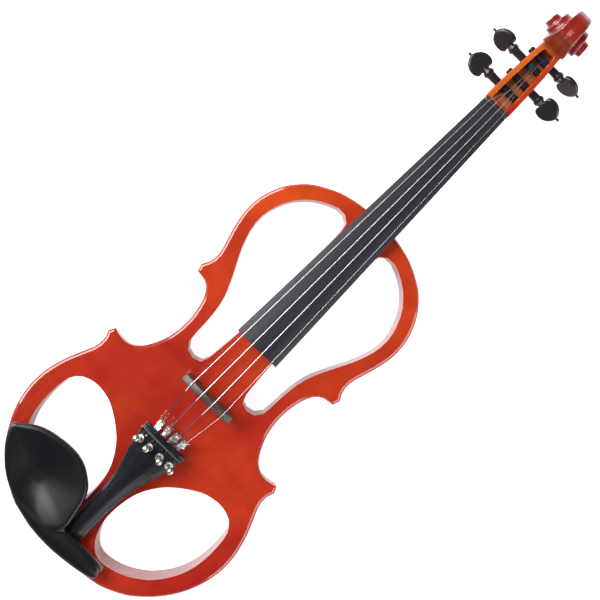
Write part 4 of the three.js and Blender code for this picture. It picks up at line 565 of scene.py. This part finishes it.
def bridge_wood():
    """Brown-black wood with lighter streaks that run across the body."""
    material, tree, shader, place = new_material("bridge wood")
    turned = {"Vector": place, "Rotation": (0, 0, math.radians(88))}
    turned_place = put(tree, "ShaderNodeMapping", turned).outputs[0]
    grain = grain_in(tree, turned_place, 1700.0, 50.0)
    feeds = {"Value": grain["Lines"], "From Min": 0.4, "From Max": 0.66}
    streak = put(tree, "ShaderNodeMapRange", feeds).outputs[0]
    colour = blended(tree, streak, (0.03, 0.021, 0.019, 1), (0.13, 0.075, 0.058, 1))
    tree.links.new(colour, shader.inputs["Base Color"])
    rubbed = handling_in(tree, place, 0.38, 0.55)
    tree.links.new(rubbed["Roughness"], shader.inputs["Roughness"])
    tree.links.new(bumped(tree, grain["Lines"], 0.2, 0.0001), shader.inputs["Normal"])
    return material


bridge = bevelled(rough_out("bridge", "bridge_block"), edge=0.0004)
mount(bridge, bridge_wood(), "bridge_wood", "bridge")


def metal(name, colour, lowest, highest):
    """Plated metal with fine rubbing in its polish."""
    material, tree, shader, place = new_material(name)
    shader.inputs["Metallic"].default_value = 1.0
    rubbed = handling_in(tree, place, lowest, highest)
    shade = blended(tree, rubbed["Smears"], (*[0.82 * part for part in colour], 1), (*colour, 1))
    tree.links.new(shade, shader.inputs["Base Color"])
    tree.links.new(rubbed["Roughness"], shader.inputs["Roughness"])
    return material


brass_foil = metal("brass foil", (0.72, 0.5, 0.22), 0.3, 0.5)
strip = bevelled(rough_out("pickup_strip", "pickup_strip_foil"), edge=0.0001)
mount(strip, brass_foil, "piezo", "pickup_strip")

# Tailpiece: ebony, arched across with a ridge along its middle, its head cut hollow. A thin
# fret is let in across it, and a nylon gut loop holds it to the button in the tail, over an
# ebony saddle.


def smoothed(piece, angle):
    """Shades a piece round, apart from edges sharper than an angle in degrees."""
    piece.data.shade_smooth()
    piece.data.set_sharp_from_angle(angle=math.radians(angle))
    weighted = piece.modifiers.new("even faces", "WEIGHTED_NORMAL")
    weighted.keep_sharp = True
    weighted.weight = 90
    return piece


def with_painted_fret_highlight(material, y, half, colour):
    """A painted highlight: a paler line across a piece at a place along Y, where the gloss on a fret's
    crown would show.
    """
    tree = material.node_tree
    shader = tree.nodes["Principled BSDF"]
    apart = put(tree, "ShaderNodeSeparateXYZ", {0: put(tree, "ShaderNodeTexCoord").outputs["Object"]})
    away = reckon(tree, "ABSOLUTE", reckon(tree, "SUBTRACT", apart.outputs["Y"], y))
    crown = put(tree, "ShaderNodeMapRange", {"Value": away, "From Min": half, "From Max": 0.7 * half})
    wood = shader.inputs["Base Color"].links[0].from_socket
    tree.links.new(blended(tree, crown.outputs[0], wood, (*colour, 1)), shader.inputs["Base Color"])
    return material


tail_ebony = ebony("tailpiece ebony", (0.009, 0.009, 0.014), 0.2, 0.3, 900.0, gloss=0.6)
# painted highlight: a pale bluish line across the tailpiece stands in for the gloss on its fret's crown
with_painted_fret_highlight(tail_ebony, y=-0.0525, half=0.0007, colour=(0.09, 0.1, 0.12))
tailpiece = soften(rough_out("tailpiece", "tailpiece_ebony"), grid=0.0004, passes=7)
mount(tailpiece, tail_ebony, "ebony", "tailpiece")
mount(bevelled(rough_out("saddle", "saddle_ebony"), edge=0.0006), nut_ebony, "ebony", "saddle")
end_button = smoothed(rough_out("end_button", "end_button_turned"), angle=40)
mount(end_button, peg_black, "ebony", "end_button")


def plastic(name, colour, lowest, highest, grain_height):
    """Moulded plastic with a light spark-eroded grain."""
    material, tree, shader, place = new_material(name)
    rubbed = handling_in(tree, place, lowest, highest)
    shade = blended(tree, rubbed["Smears"], (*[0.85 * part for part in colour], 1), (*colour, 1))
    tree.links.new(shade, shader.inputs["Base Color"])
    tree.links.new(rubbed["Roughness"], shader.inputs["Roughness"])
    tree.links.new(ripple(tree, place, 2600.0, grain_height, 0.0001), shader.inputs["Normal"])
    return material


black_nylon = plastic("black nylon", (0.016, 0.016, 0.018), 0.3, 0.42, 0.1)
mount(smoothed(rough_out("tail_gut", "tail_gut_loop"), angle=50), black_nylon, "nylon", "tail_gut")

# Fine tuners: on each, a nickel frame is clamped to the tailpiece by a ring nut round a post.
# A screw through the post tips a lever on a pin, whose hook holds the string's ball.

nickel = metal("nickel plate", (0.66, 0.64, 0.61), 0.24, 0.4)
for letter in "gdae":
    for node in (f"tuner_frame_{letter}", f"tuner_lever_{letter}"):
        mount(bevelled(rough_out(node, f"{node}_plated"), edge=0.0002), nickel, "nickel", node)
    for node in (f"tuner_screw_{letter}", f"tuner_nut_{letter}"):
        mount(smoothed(rough_out(node, f"{node}_plated"), angle=40), nickel, "nickel", node)

# Strings: a steel core with a fine flat winding, plain steel on the thinnest, and coloured
# silk over both ends. Each runs from its tuner's hook over the bridge and the nut, and is
# wound on its peg.

STRING_SIDES = 12
BALL_REACH = 0.0022
# the ball's size against the solid's, so that it clears the lever's hook
BALL_SHARE = 0.92


def end_ring(shape):
    """The middle of a CAD string's flat end, and the six corners round it."""
    for hub in shape.verts:
        first = hub.link_faces[0].normal
        if len(hub.link_faces) == 6 and all(part.normal.dot(first) > 0.9995 for part in hub.link_faces):
            corners = {e.other_vert(hub) for e in hub.link_edges}
            reaches = [e.calc_length() for e in hub.link_edges]
            if max(reaches) < 1.1 * min(reaches):
                return hub, corners
    return None, set()


def centreline(node):
    """The middles of a CAD string's rings from its peg to its ball, and the ball's place and radius."""
    shape = bmesh.new()
    shape.from_mesh(frame["nodes"][node].data)
    bmesh.ops.remove_doubles(shape, verts=shape.verts, dist=2e-6)
    shape.normal_update()
    hub, ring = end_ring(shape)
    seen = {hub}
    middles = []
    while len(ring) == 6:
        middles.append(sum((v.co for v in ring), Vector()) / 6)
        seen |= ring
        ring = {e.other_vert(v) for v in ring for e in v.link_edges} - seen
    rest = [v.co for v in shape.verts if v not in seen]
    low = Vector(min(co[axis] for co in rest) for axis in range(3))
    high = Vector(max(co[axis] for co in rest) for axis in range(3))
    ball = (low + high) / 2
    reach = min(high - low) / 2
    shape.free()
    return middles, ball, reach


def make_string_tree():
    """A round string along a line of points, with a ball at its end."""
    tree, given = new_tree(
        "round string",
        [
            ("Geometry", "Geometry"),
            ("Radius", "Float"),
            ("Sides", "Int"),
            ("Ball place", "Vector"),
            ("Ball radius", "Float"),
            ("Material", "Material"),
        ],
    )
    line = put(tree, "GeometryNodeMeshToCurve", {"Mesh": given["Geometry"]})
    feeds = {"Radius": given["Radius"], "Resolution": given["Sides"]}
    ring = put(tree, "GeometryNodeCurvePrimitiveCircle", feeds)
    feeds = {"Curve": line.outputs["Curve"], "Profile Curve": ring.outputs["Curve"], "Fill Caps": True}
    tube = put(tree, "GeometryNodeCurveToMesh", feeds)
    feeds = {"Segments": 20, "Rings": 12, "Radius": given["Ball radius"]}
    sphere = put(tree, "GeometryNodeMeshUVSphere", feeds)
    feeds = {"Geometry": sphere.outputs["Mesh"], "Translation": given["Ball place"]}
    ball = put(tree, "GeometryNodeTransform", feeds)
    both = put(tree, "GeometryNodeJoinGeometry")
    tree.links.new(tube.outputs["Mesh"], both.inputs[0])
    tree.links.new(ball.outputs["Geometry"], both.inputs[0])
    return finish_tree(tree, both.outputs["Geometry"], given["Material"])


def string_finish(letter, steel, tail_silk, silk_from, ball_y, silk_again, peg_silk):
    """Flat-wound steel between two stretches of silk, told apart by how far along Y they are."""
    material, tree, shader, place = new_material(f"string {letter}")
    along = put(tree, "ShaderNodeSeparateXYZ", {0: place}).outputs["Y"]
    winding = put(tree, "ShaderNodeTexWave", {"Vector": place, "Scale": 1400.0}, bands_direction="Y")
    plain = blended(tree, winding.outputs["Fac"], (*[0.75 * part for part in steel], 1), (*steel, 1))
    feeds = {"Vector": place, "Scale": 900.0, "Distortion": 1.0}
    threads = put(tree, "ShaderNodeTexWave", feeds, bands_direction="DIAGONAL")
    past_ball = reckon(tree, "GREATER_THAN", along, ball_y + BALL_REACH)
    at_tail = reckon(tree, "MULTIPLY", reckon(tree, "LESS_THAN", along, silk_from), past_ball)
    at_peg = reckon(tree, "GREATER_THAN", along, silk_again)
    silk = blended(tree, at_peg, (*tail_silk, 1), (*peg_silk, 1))
    silk = blended(tree, threads.outputs["Fac"], blended(tree, 0.45, silk, (0, 0, 0, 1)), silk)
    covered = reckon(tree, "MAXIMUM", at_tail, at_peg)
    tree.links.new(blended(tree, covered, plain, silk), shader.inputs["Base Color"])
    tree.links.new(reckon(tree, "SUBTRACT", 1.0, covered), shader.inputs["Metallic"])
    rubbed = handling_in(tree, place, 0.22, 0.38)
    rough = reckon(tree, "MULTIPLY_ADD", covered, 0.35, rubbed["Roughness"])
    tree.links.new(rough, shader.inputs["Roughness"])
    return material


round_string = make_string_tree()
steel_grey = (0.62, 0.61, 0.63)
# Letter, radius, winding's colour, tail silk's colour and end, peg silk's start and colour.
# The wound strings are a little thinner than their solids, to clear the levers' hooks.
strings = (
    ("g", 0.00031, steel_grey, (0.02, 0.019, 0.02), -0.008, 0.342, (0.018, 0.018, 0.022)),
    ("d", 0.00031, steel_grey, (0.06, 0.12, 0.2), -0.007, 0.3685, (0.02, 0.14, 0.19)),
    ("a", 0.0003, steel_grey, (0.09, 0.045, 0.26), -0.012, 0.379, (0.02, 0.035, 0.16)),
    ("e", 0.00015, steel_grey, (0.8, 0.75, 0.7), -0.2, 0.354, (0.13, 0.035, 0.14)),
)
for letter, radius, steel, tail_silk, silk_from, silk_again, peg_silk in strings:
    node = f"string_{letter}"
    points, ball, ball_radius = centreline(node)
    edges = [(i, i + 1) for i in range(len(points))]
    piece = new_piece(f"string_{letter}_wound", [*points, ball], edges)
    finish = string_finish(letter, steel, tail_silk, silk_from, ball.y, silk_again, peg_silk)
    give(
        piece,
        round_string,
        radius=radius,
        sides=STRING_SIDES,
        ball_place=ball,
        ball_radius=BALL_SHARE * ball_radius,
        material=finish,
    )
    mount(piece, finish, "string_steel", node)

# Chin rest: a cup turned and carved of ebony on an arm that bridges the tailpiece. Two feet
# with cork under them stand on the body's front, and a clamp behind the tail pulls it down.

REST_LEFT, REST_RIGHT = -0.0962, -0.0066
REST_HEAD, REST_TAIL = -0.1033, -0.1735
REST_LOW, REST_TOP = 0.0466, 0.0548
ARM_LEFT, ARM_RIGHT = -0.05, 0.0378
ARM_HEAD, ARM_TAIL = -0.1532, -0.1733
DISH_DEPTH, DISH_MIDDLE_RADIUS = 0.0074, 0.028
FLANK_FROM, FLANK_LENGTH = -0.15, 0.022
# the crest of the cup's rim as a share of the way out, and how much less it is over the flank
CREST_SHARE, CREST_DROP_SHARE = 0.955, 0.15
# where along the arm its tip starts to round off, and over which length it does
TIP_FROM_SHARE, TIP_LENGTH_SHARE = 0.76, 0.245
FOOT_LEFTS, FOOT_WIDTH = (-0.0438, 0.0242), 0.0133
FOOT_TAIL, FOOT_HEAD = -0.1684, -0.1599
FOOT_LEVELS = (0.033, 0.04, 0.05)
# shares of the cup's width from the left and of its length from the head
cup_shares = [
    (0.006, 0.275), (0.072, 0.197), (0.183, 0.099), (0.294, 0.042), (0.406, 0.014), (0.517, 0),
    (0.628, 0.01), (0.739, 0.056), (0.85, 0.155), (0.906, 0.232), (0.95, 0.352), (0.978, 0.52),
    (1, 0.69), (0.96, 0.86), (0.85, 0.965), (0.739, 0.966), (0.517, 0.894), (0.406, 0.824),
    (0.294, 0.739), (0.183, 0.62), (0.072, 0.458),
]
# shares of the arm's length from its left end, and of its width at the head and tail sides
arm_shares = [
    (0, 0.34, 0.64), (0.1, 0.27, 0.76), (0.23, 0.18, 0.91), (0.35, 0.12, 0.975), (0.46, 0.06, 1),
    (0.57, 0, 0.99), (0.68, 0, 0.95), (0.8, 0, 0.88), (0.86, 0.02, 0.84), (0.91, 0.04, 0.79),
    (0.95, 0.09, 0.74), (0.98, 0.18, 0.68), (1, 0.32, 0.58),
]


def between(first, last, share):
    """A value part of the way from one to another."""
    return first + (last - first) * share


def round_loop(corners, steps):
    """A closed smooth curve through a list of corners in a plane."""
    count = len(corners)
    places = []
    for i in range(count):
        a, b, c, d = (Vector(corners[(i + k) % count]) for k in (-1, 0, 1, 2))
        for step in range(steps):
            t = step / steps
            bend = 2 * b + (c - a) * t + (2 * a - 5 * b + 4 * c - d) * t * t
            places.append((bend + (3 * b - a - 3 * c + d) * t**3) / 2)
    return places


def skinned(shape, rings):
    """Adds a closed skin over rings of points, each end closed on the ring's middle."""
    laid = [[shape.verts.new(place) for place in ring] for ring in rings]
    count = len(rings[0])
    for lower, upper in zip(laid, laid[1:]):
        for i in range(count):
            j = (i + 1) % count
            shape.faces.new((lower[i], lower[j], upper[j], upper[i]))
    for ring, turned in ((laid[0], True), (laid[-1], False)):
        middle = shape.verts.new(sum((v.co for v in ring), Vector()) / count)
        for i in range(count):
            j = (i + 1) % count
            shape.faces.new((ring[j], ring[i], middle) if turned else (ring[i], ring[j], middle))


def cup_rings():
    """The cup from its belly out round its rim and in to the dish, which is deepest in the middle.

    Towards the tail the crest of the rim stands further in, and a broad flank falls from it.
    """
    corners = [(between(REST_LEFT, REST_RIGHT, u), between(REST_HEAD, REST_TAIL, v)) for u, v in cup_shares]
    edge = round_loop(corners[::-1], 4)
    hub = Vector((between(REST_LEFT, REST_RIGHT, 0.5), between(REST_HEAD, REST_TAIL, 0.5)))
    rise = REST_TOP - REST_LOW
    rows = [(0.3, -0.0044), (0.7, -0.0033), (0.92, -0.001), (0.985, 0)]
    rows += [(1, 0.25 * rise), (0.997, 0.5 * rise)]
    rings = [[(*hub.lerp(p, size), REST_LOW + up) for p in edge] for size, up in rows]
    crests = []
    for p in edge:
        tailward = min(max((FLANK_FROM - p.y) / FLANK_LENGTH, 0), 1)
        crests.append(CREST_SHARE - CREST_DROP_SHARE * tailward * tailward * (3 - 2 * tailward))
    for along, up in ((0.45, 0.86), (0.85, 0.985)):
        ring = [(*hub.lerp(p, between(1, c, along)), REST_LOW + rise * up) for p, c in zip(edge, crests)]
        rings.append(ring)
    for t in (1, 0.95, 0.89, 0.82, 0.74, 0.65, 0.55, 0.44, 0.32, 0.18):
        deep = REST_TOP - DISH_DEPTH * (1 - t * t) ** 1.3
        ring = []
        for p, crest in zip(edge, crests):
            out = p - hub
            reach = between(DISH_MIDDLE_RADIUS, crest * out.length, t * t)
            ring.append((*(hub + out.normalized() * reach * t), deep))
        rings.append(ring)
    return rings


def arm_rings():
    """The arm as a rounded ridge over the tailpiece's end, which tapers to a blunt tip."""
    rings = []
    for along, head, tail in arm_shares:
        x = between(ARM_LEFT, ARM_RIGHT, along)
        y0 = between(ARM_HEAD, ARM_TAIL, tail)
        y1 = between(ARM_HEAD, ARM_TAIL, head)
        past = max((along - TIP_FROM_SHARE) / TIP_LENGTH_SHARE, 0)
        blunt = math.sqrt(max(1 - past**2, 0))
        rise = (REST_TOP - REST_LOW) * between(0.45, 1, blunt)
        ring = []
        for i in range(9):
            angle = math.pi * i / 8
            y = between(y0, y1, (1 - math.cos(angle)) / 2)
            ring.append((x, y, REST_LOW + rise * (0.3 + 0.7 * math.sin(angle) ** 0.8)))
        ring += [(x, between(y1, y0, share), REST_LOW) for share in (0.05, 0.35, 0.65, 0.95)]
        rings.append(ring)
    return rings


def foot_rings(left):
    """One of the feet that stand on the cork, round-cornered, up into the cup or the arm."""
    corners = [
        (left + FOOT_WIDTH * u, between(FOOT_TAIL, FOOT_HEAD, v))
        for u, v in ((0.2, 0), (0.8, 0), (1, 0.3), (1, 0.7), (0.8, 1), (0.2, 1), (0, 0.7), (0, 0.3))
    ]
    plan = round_loop(corners, 3)
    return [[(*p, z) for p in plan] for z in FOOT_LEVELS]


def chin_rest():
    """The cup, the arm and the feet, blended as one carved piece."""
    piece = new_piece("chinrest_ebony")
    shape = bmesh.new()
    skinned(shape, cup_rings())
    skinned(shape, arm_rings())
    for left in FOOT_LEFTS:
        skinned(shape, foot_rings(left))
    bmesh.ops.recalc_face_normals(shape, faces=shape.faces)
    shape.to_mesh(piece.data)
    shape.free()
    return soften(piece, grid=0.0008, passes=24)


satin_ebony = ebony("satin ebony", (0.005, 0.004, 0.007), 0.3, 0.4, 900.0)
mount(chin_rest(), satin_ebony, "ebony", "chinrest")


def cork_sheet():
    """Pressed cork: pale granules with darker specks between them."""
    material, tree, shader, place = new_material("cork")
    cells = put(tree, "ShaderNodeTexVoronoi", {"Vector": place, "Scale": 900.0})
    tone = put(tree, "ShaderNodeMapRange", {"Value": cells.outputs["Distance"], "From Max": 0.8})
    colour = blended(tree, tone.outputs[0], (0.62, 0.5, 0.4, 1), (0.36, 0.26, 0.19, 1))
    tree.links.new(colour, shader.inputs["Base Color"])
    shader.inputs["Roughness"].default_value = 0.9
    tree.links.new(bumped(tree, cells.outputs["Distance"], 0.4, 0.0003), shader.inputs["Normal"])
    return material


cork = cork_sheet()
for node in ("chinrest_cork_left", "chinrest_cork_right", "clamp_cork"):
    mount(bevelled(rough_out(node, f"{node}_sheet"), edge=0.0003), cork, "cork", node)
for node in ("clamp_bracket", "clamp_foot"):
    mount(bevelled(rough_out(node, f"{node}_plated"), edge=0.0003), nickel, "nickel", node)
for node in ("clamp_barrel_left", "clamp_barrel_right"):
    mount(smoothed(rough_out(node, f"{node}_plated"), angle=40), nickel, "nickel", node)

# Controls: a moulded plate let into the back, with a well for two knobs and a slide switch,
# and a door over the battery. Behind it are the pots, the preamp board and the battery.

black_plastic = plastic("black plastic", (0.028, 0.028, 0.03), 0.42, 0.6, 0.3)
for node in ("control_plate", "battery_door", "battery_snap", "power_switch", "switch_button"):
    moulded = bevelled(rough_out(node, f"{node}_moulded"), edge=0.00025)
    mount(moulded, black_plastic, "black_plastic", node)

DRAWN_IN_SHARE = 0.055
KNOB_RADIUS, RIB_RADIUS, RIBS = 0.0068, 0.00045, 26
# how far the ribs stay from the knob's outer face and from its foot
RIB_START, RIB_STOP = 0.001, 0.0001


def make_knob_tree():
    """A knob drawn in a little all round, with upright ribs set round it for the fingers."""
    tree, given = new_tree(
        "ribbed knob",
        [
            ("Geometry", "Geometry"),
            ("Middle", "Vector"),
            ("Radius", "Float"),
            ("Height", "Float"),
            ("Rib radius", "Float"),
            ("Ribs", "Int"),
            ("Material", "Material"),
        ],
    )
    place = put(tree, "GeometryNodeInputPosition").outputs[0]
    outward = put(tree, "ShaderNodeVectorMath", {0: given["Middle"], 1: place}, operation="SUBTRACT")
    feeds = {0: outward.outputs[0], 1: (DRAWN_IN_SHARE, DRAWN_IN_SHARE, 0)}
    inward = put(tree, "ShaderNodeVectorMath", feeds, operation="MULTIPLY")
    feeds = {"Geometry": given["Geometry"], "Offset": inward.outputs[0]}
    drawn_in = put(tree, "GeometryNodeSetPosition", feeds)
    reach = reckon(tree, "SUBTRACT", given["Radius"], given["Rib radius"])
    round_it = put(tree, "GeometryNodeMeshCircle", {"Vertices": given["Ribs"], "Radius": reach})
    feeds = {"Geometry": round_it.outputs["Mesh"], "Translation": given["Middle"]}
    placed = put(tree, "GeometryNodeTransform", feeds)
    feeds = {"Vertices": 10, "Radius": given["Rib radius"], "Depth": given["Height"]}
    rib = put(tree, "GeometryNodeMeshCylinder", feeds)
    feeds = {"Points": placed.outputs["Geometry"], "Instance": rib.outputs["Mesh"]}
    ribs = put(tree, "GeometryNodeInstanceOnPoints", feeds)
    both = put(tree, "GeometryNodeJoinGeometry")
    tree.links.new(drawn_in.outputs["Geometry"], both.inputs[0])
    tree.links.new(ribs.outputs["Instances"], both.inputs[0])
    return finish_tree(tree, both.outputs["Geometry"], given["Material"])


ribbed_knob = make_knob_tree()
for node in ("volume_knob", "tone_knob"):
    low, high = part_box(node)
    first, last = low.z + RIB_START, high.z - RIB_STOP
    knob = give(
        rough_out(node, f"{node}_moulded"),
        ribbed_knob,
        middle=((low.x + high.x) / 2, (low.y + high.y) / 2, (first + last) / 2),
        radius=KNOB_RADIUS,
        height=last - first,
        rib_radius=RIB_RADIUS,
        ribs=RIBS,
        material=black_plastic,
    )
    mount(eased(knob, edge=0.0001, segments=1, angle=50), black_plastic, "black_plastic", node)
for node in ("volume_pot", "tone_pot"):
    mount(smoothed(rough_out(node, f"{node}_case"), angle=40), nickel, "nickel", node)
solder_mask = plastic("solder mask", (0.02, 0.14, 0.05), 0.3, 0.45, 0.1)
preamp = bevelled(rough_out("preamp_board", "preamp_board_made"), edge=0.0001)
mount(preamp, solder_mask, "board", "preamp_board")
battery_metal = metal("battery sleeve", (0.2, 0.21, 0.25), 0.3, 0.4)
battery = bevelled(rough_out("battery", "battery_sleeve"), edge=0.0004)
mount(battery, battery_metal, "battery", "battery")


def make_screw_tree():
    """A cross-headed screw with its head down, set at each of a few points."""
    tree, given = new_tree(
        "cross-headed screws",
        [
            ("Geometry", "Geometry"),
            ("Head radius", "Float"),
            ("Head height", "Float"),
            ("Shank radius", "Float"),
            ("Length", "Float"),
            ("Material", "Material"),
        ],
    )
    feeds = {"Vertices": 28, "Radius": given["Head radius"], "Depth": given["Head height"]}
    head = put(tree, "GeometryNodeMeshCylinder", feeds)
    up = put(tree, "ShaderNodeCombineXYZ", {2: reckon(tree, "MULTIPLY", given["Head height"], 0.5)})
    feeds = {"Geometry": head.outputs["Mesh"], "Translation": up.outputs[0]}
    head = put(tree, "GeometryNodeTransform", feeds)
    wide = reckon(tree, "MULTIPLY", given["Head radius"], 1.3)
    narrow = reckon(tree, "MULTIPLY", given["Head radius"], 0.3)
    tall = reckon(tree, "MULTIPLY", given["Head height"], 1.1)
    cross = put(tree, "GeometryNodeMeshBoolean", operation="DIFFERENCE", solver="EXACT")
    tree.links.new(head.outputs["Geometry"], cross.inputs["Mesh 1"])
    for across in ((wide, narrow, tall), (narrow, wide, tall)):
        size = put(tree, "ShaderNodeCombineXYZ", dict(enumerate(across)))
        bar = put(tree, "GeometryNodeMeshCube", {"Size": size.outputs[0]})
        tree.links.new(bar.outputs["Mesh"], cross.inputs["Mesh 2"])
    depth = reckon(tree, "SUBTRACT", given["Length"], given["Head height"])
    feeds = {"Vertices": 20, "Radius": given["Shank radius"], "Depth": depth}
    shank = put(tree, "GeometryNodeMeshCylinder", feeds)
    half = reckon(tree, "MULTIPLY", reckon(tree, "ADD", given["Length"], given["Head height"]), 0.5)
    up = put(tree, "ShaderNodeCombineXYZ", {2: half})
    feeds = {"Geometry": shank.outputs["Mesh"], "Translation": up.outputs[0]}
    shank = put(tree, "GeometryNodeTransform", feeds)
    screw = put(tree, "GeometryNodeJoinGeometry")
    tree.links.new(cross.outputs["Mesh"], screw.inputs[0])
    tree.links.new(shank.outputs["Geometry"], screw.inputs[0])
    feeds = {"Points": given["Geometry"], "Instance": screw.outputs["Geometry"]}
    screws = put(tree, "GeometryNodeInstanceOnPoints", feeds)
    return finish_tree(tree, screws.outputs["Instances"], given["Material"])


screw_nodes = [f"plate_screw_{index}" for index in range(1, 5)]
screw_places = []
for node in screw_nodes:
    low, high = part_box(node)
    screw_places.append(((low.x + high.x) / 2, (low.y + high.y) / 2, low.z))
plate_screws = give(
    new_piece("plate_screws_plated", screw_places),
    make_screw_tree(),
    head_radius=0.0021,
    head_height=0.0011,
    shank_radius=0.0012,
    length=0.008,
    material=nickel,
)
mount(eased(plate_screws, edge=0.00015), nickel, "nickel", *screw_nodes)

# Sockets: a 6.35 mm output jack and a small headphone jack in the waist's two sides, and the
# lead from the piezo strip.

for node in ("output_jack", "headphone_jack"):
    mount(smoothed(rough_out(node, f"{node}_plated"), angle=40), nickel, "nickel", node)
lead = smoothed(rough_out("pickup_lead", "pickup_lead_sheath"), angle=50)
mount(lead, black_nylon, "nylon", "pickup_lead")

# Studio: a pale floor and a white surround, a soft light up to the left and a weaker one to the
# right, and two wide strips that show only as glints. The camera looks down on the front.

FLOOR_SIDE, FLOOR_GAP = 8.0, 0.0005
LIT_MIDDLE = Vector((0, 0.12, 0.03))


def rays(tree):
    """1 for what the camera sees, also through clear things, and 1 for what a gloss mirrors."""
    path = put(tree, "ShaderNodeLightPath").outputs
    seen = reckon(tree, "MAXIMUM", path["Is Camera Ray"], path["Is Transmission Ray"])
    return seen, path["Is Glossy Ray"]


def floor_paint():
    """A pale matt floor, white to the camera with its shadow kept, and grey in a gloss."""
    material, tree, shader, place = new_material("floor paint")
    colour = blended(tree, noise(tree, place, 3.0), (0.9, 0.9, 0.9, 1), (0.92, 0.92, 0.92, 1))
    tree.links.new(colour, shader.inputs["Base Color"])
    shader.inputs["Roughness"].default_value = 0.9
    shader.inputs["Specular IOR Level"].default_value = 0.0
    seen, mirrored = rays(tree)
    strength = reckon(tree, "MULTIPLY_ADD", seen, 0.85, reckon(tree, "MULTIPLY", mirrored, 0.3))
    shader.inputs["Emission Color"].default_value = (1, 1, 1, 1)
    tree.links.new(strength, shader.inputs["Emission Strength"])
    return material


def lay_floor():
    """The floor, just under the lowest point of the instrument."""
    low = cad_box[0].z - FLOOR_GAP
    half = FLOOR_SIDE / 2
    corners = [(x * half, y * half, low) for x, y in ((-1, -1), (1, -1), (1, 1), (-1, 1))]
    mesh = bpy.data.meshes.new("floor")
    mesh.from_pydata(corners, [], [(0, 1, 2, 3)])
    floor = bpy.data.objects.new("floor", mesh)
    bpy.context.scene.collection.objects.link(floor)
    mesh.materials.append(floor_paint())


def hang_light(name, place, width, height, power, mirrors_only=False):
    """A soft light that faces the instrument's middle, or only a glint in what is polished."""
    lamp = bpy.data.lights.new(name, "AREA")
    lamp.shape = "RECTANGLE"
    lamp.size = width
    lamp.size_y = height
    lamp.energy = power
    light = bpy.data.objects.new(name, lamp)
    bpy.context.scene.collection.objects.link(light)
    light.location = place
    light.rotation_euler = (LIT_MIDDLE - Vector(place)).to_track_quat("-Z", "Y").to_euler()
    light.visible_diffuse = not mirrors_only


def surround():
    """White all round to the camera, and in a gloss a grey that fades overhead."""
    world = bpy.data.worlds.new("surround")
    bpy.context.scene.world = world
    world.use_nodes = True
    tree = world.node_tree
    back = tree.nodes["Background"]
    direction = put(tree, "ShaderNodeTexCoord").outputs["Generated"]
    apart = put(tree, "ShaderNodeSeparateXYZ", {0: direction})
    overhead = faded(tree, apart.outputs["Z"], 0.12, 0.7)
    level = reckon(tree, "MULTIPLY_ADD", overhead, -0.25, 0.28)
    seen, mirrored = rays(tree)
    seen = reckon(tree, "MAXIMUM", seen, reckon(tree, "MULTIPLY", mirrored, level))
    plain = reckon(tree, "MULTIPLY", reckon(tree, "SUBTRACT", 1.0, mirrored), 0.54)
    back.inputs["Color"].default_value = (1, 1, 1, 1)
    tree.links.new(reckon(tree, "MAXIMUM", seen, plain), back.inputs["Strength"])


lay_floor()
surround()
hang_light("left softbox", (-0.78, 0.0, 1.3), width=0.6, height=0.6, power=14.0)
hang_light("right softbox", (0.85, -0.6, 1.15), width=0.5, height=0.5, power=1.4)
hang_light("left strip", (-1.6, 0.1, 0.8), width=2.0, height=0.8, power=62.0, mirrors_only=True)
hang_light("right strip", (1.7, 0.2, 0.7), width=2.0, height=0.8, power=26.0, mirrors_only=True)

lens = bpy.data.cameras.new("camera")
lens.sensor_width = 36.0
lens.lens = 68.764
lens.clip_start = 0.05
camera = bpy.data.objects.new("camera", lens)
bpy.context.scene.collection.objects.link(camera)
camera.location = (-0.04243, 0.09849, 0.95531)
camera.rotation_euler = [math.radians(angle) for angle in (-1.4543, -2.0748, 44.9282)]
bpy.context.scene.camera = camera
bpy.context.scene.view_settings.view_transform = "Standard"
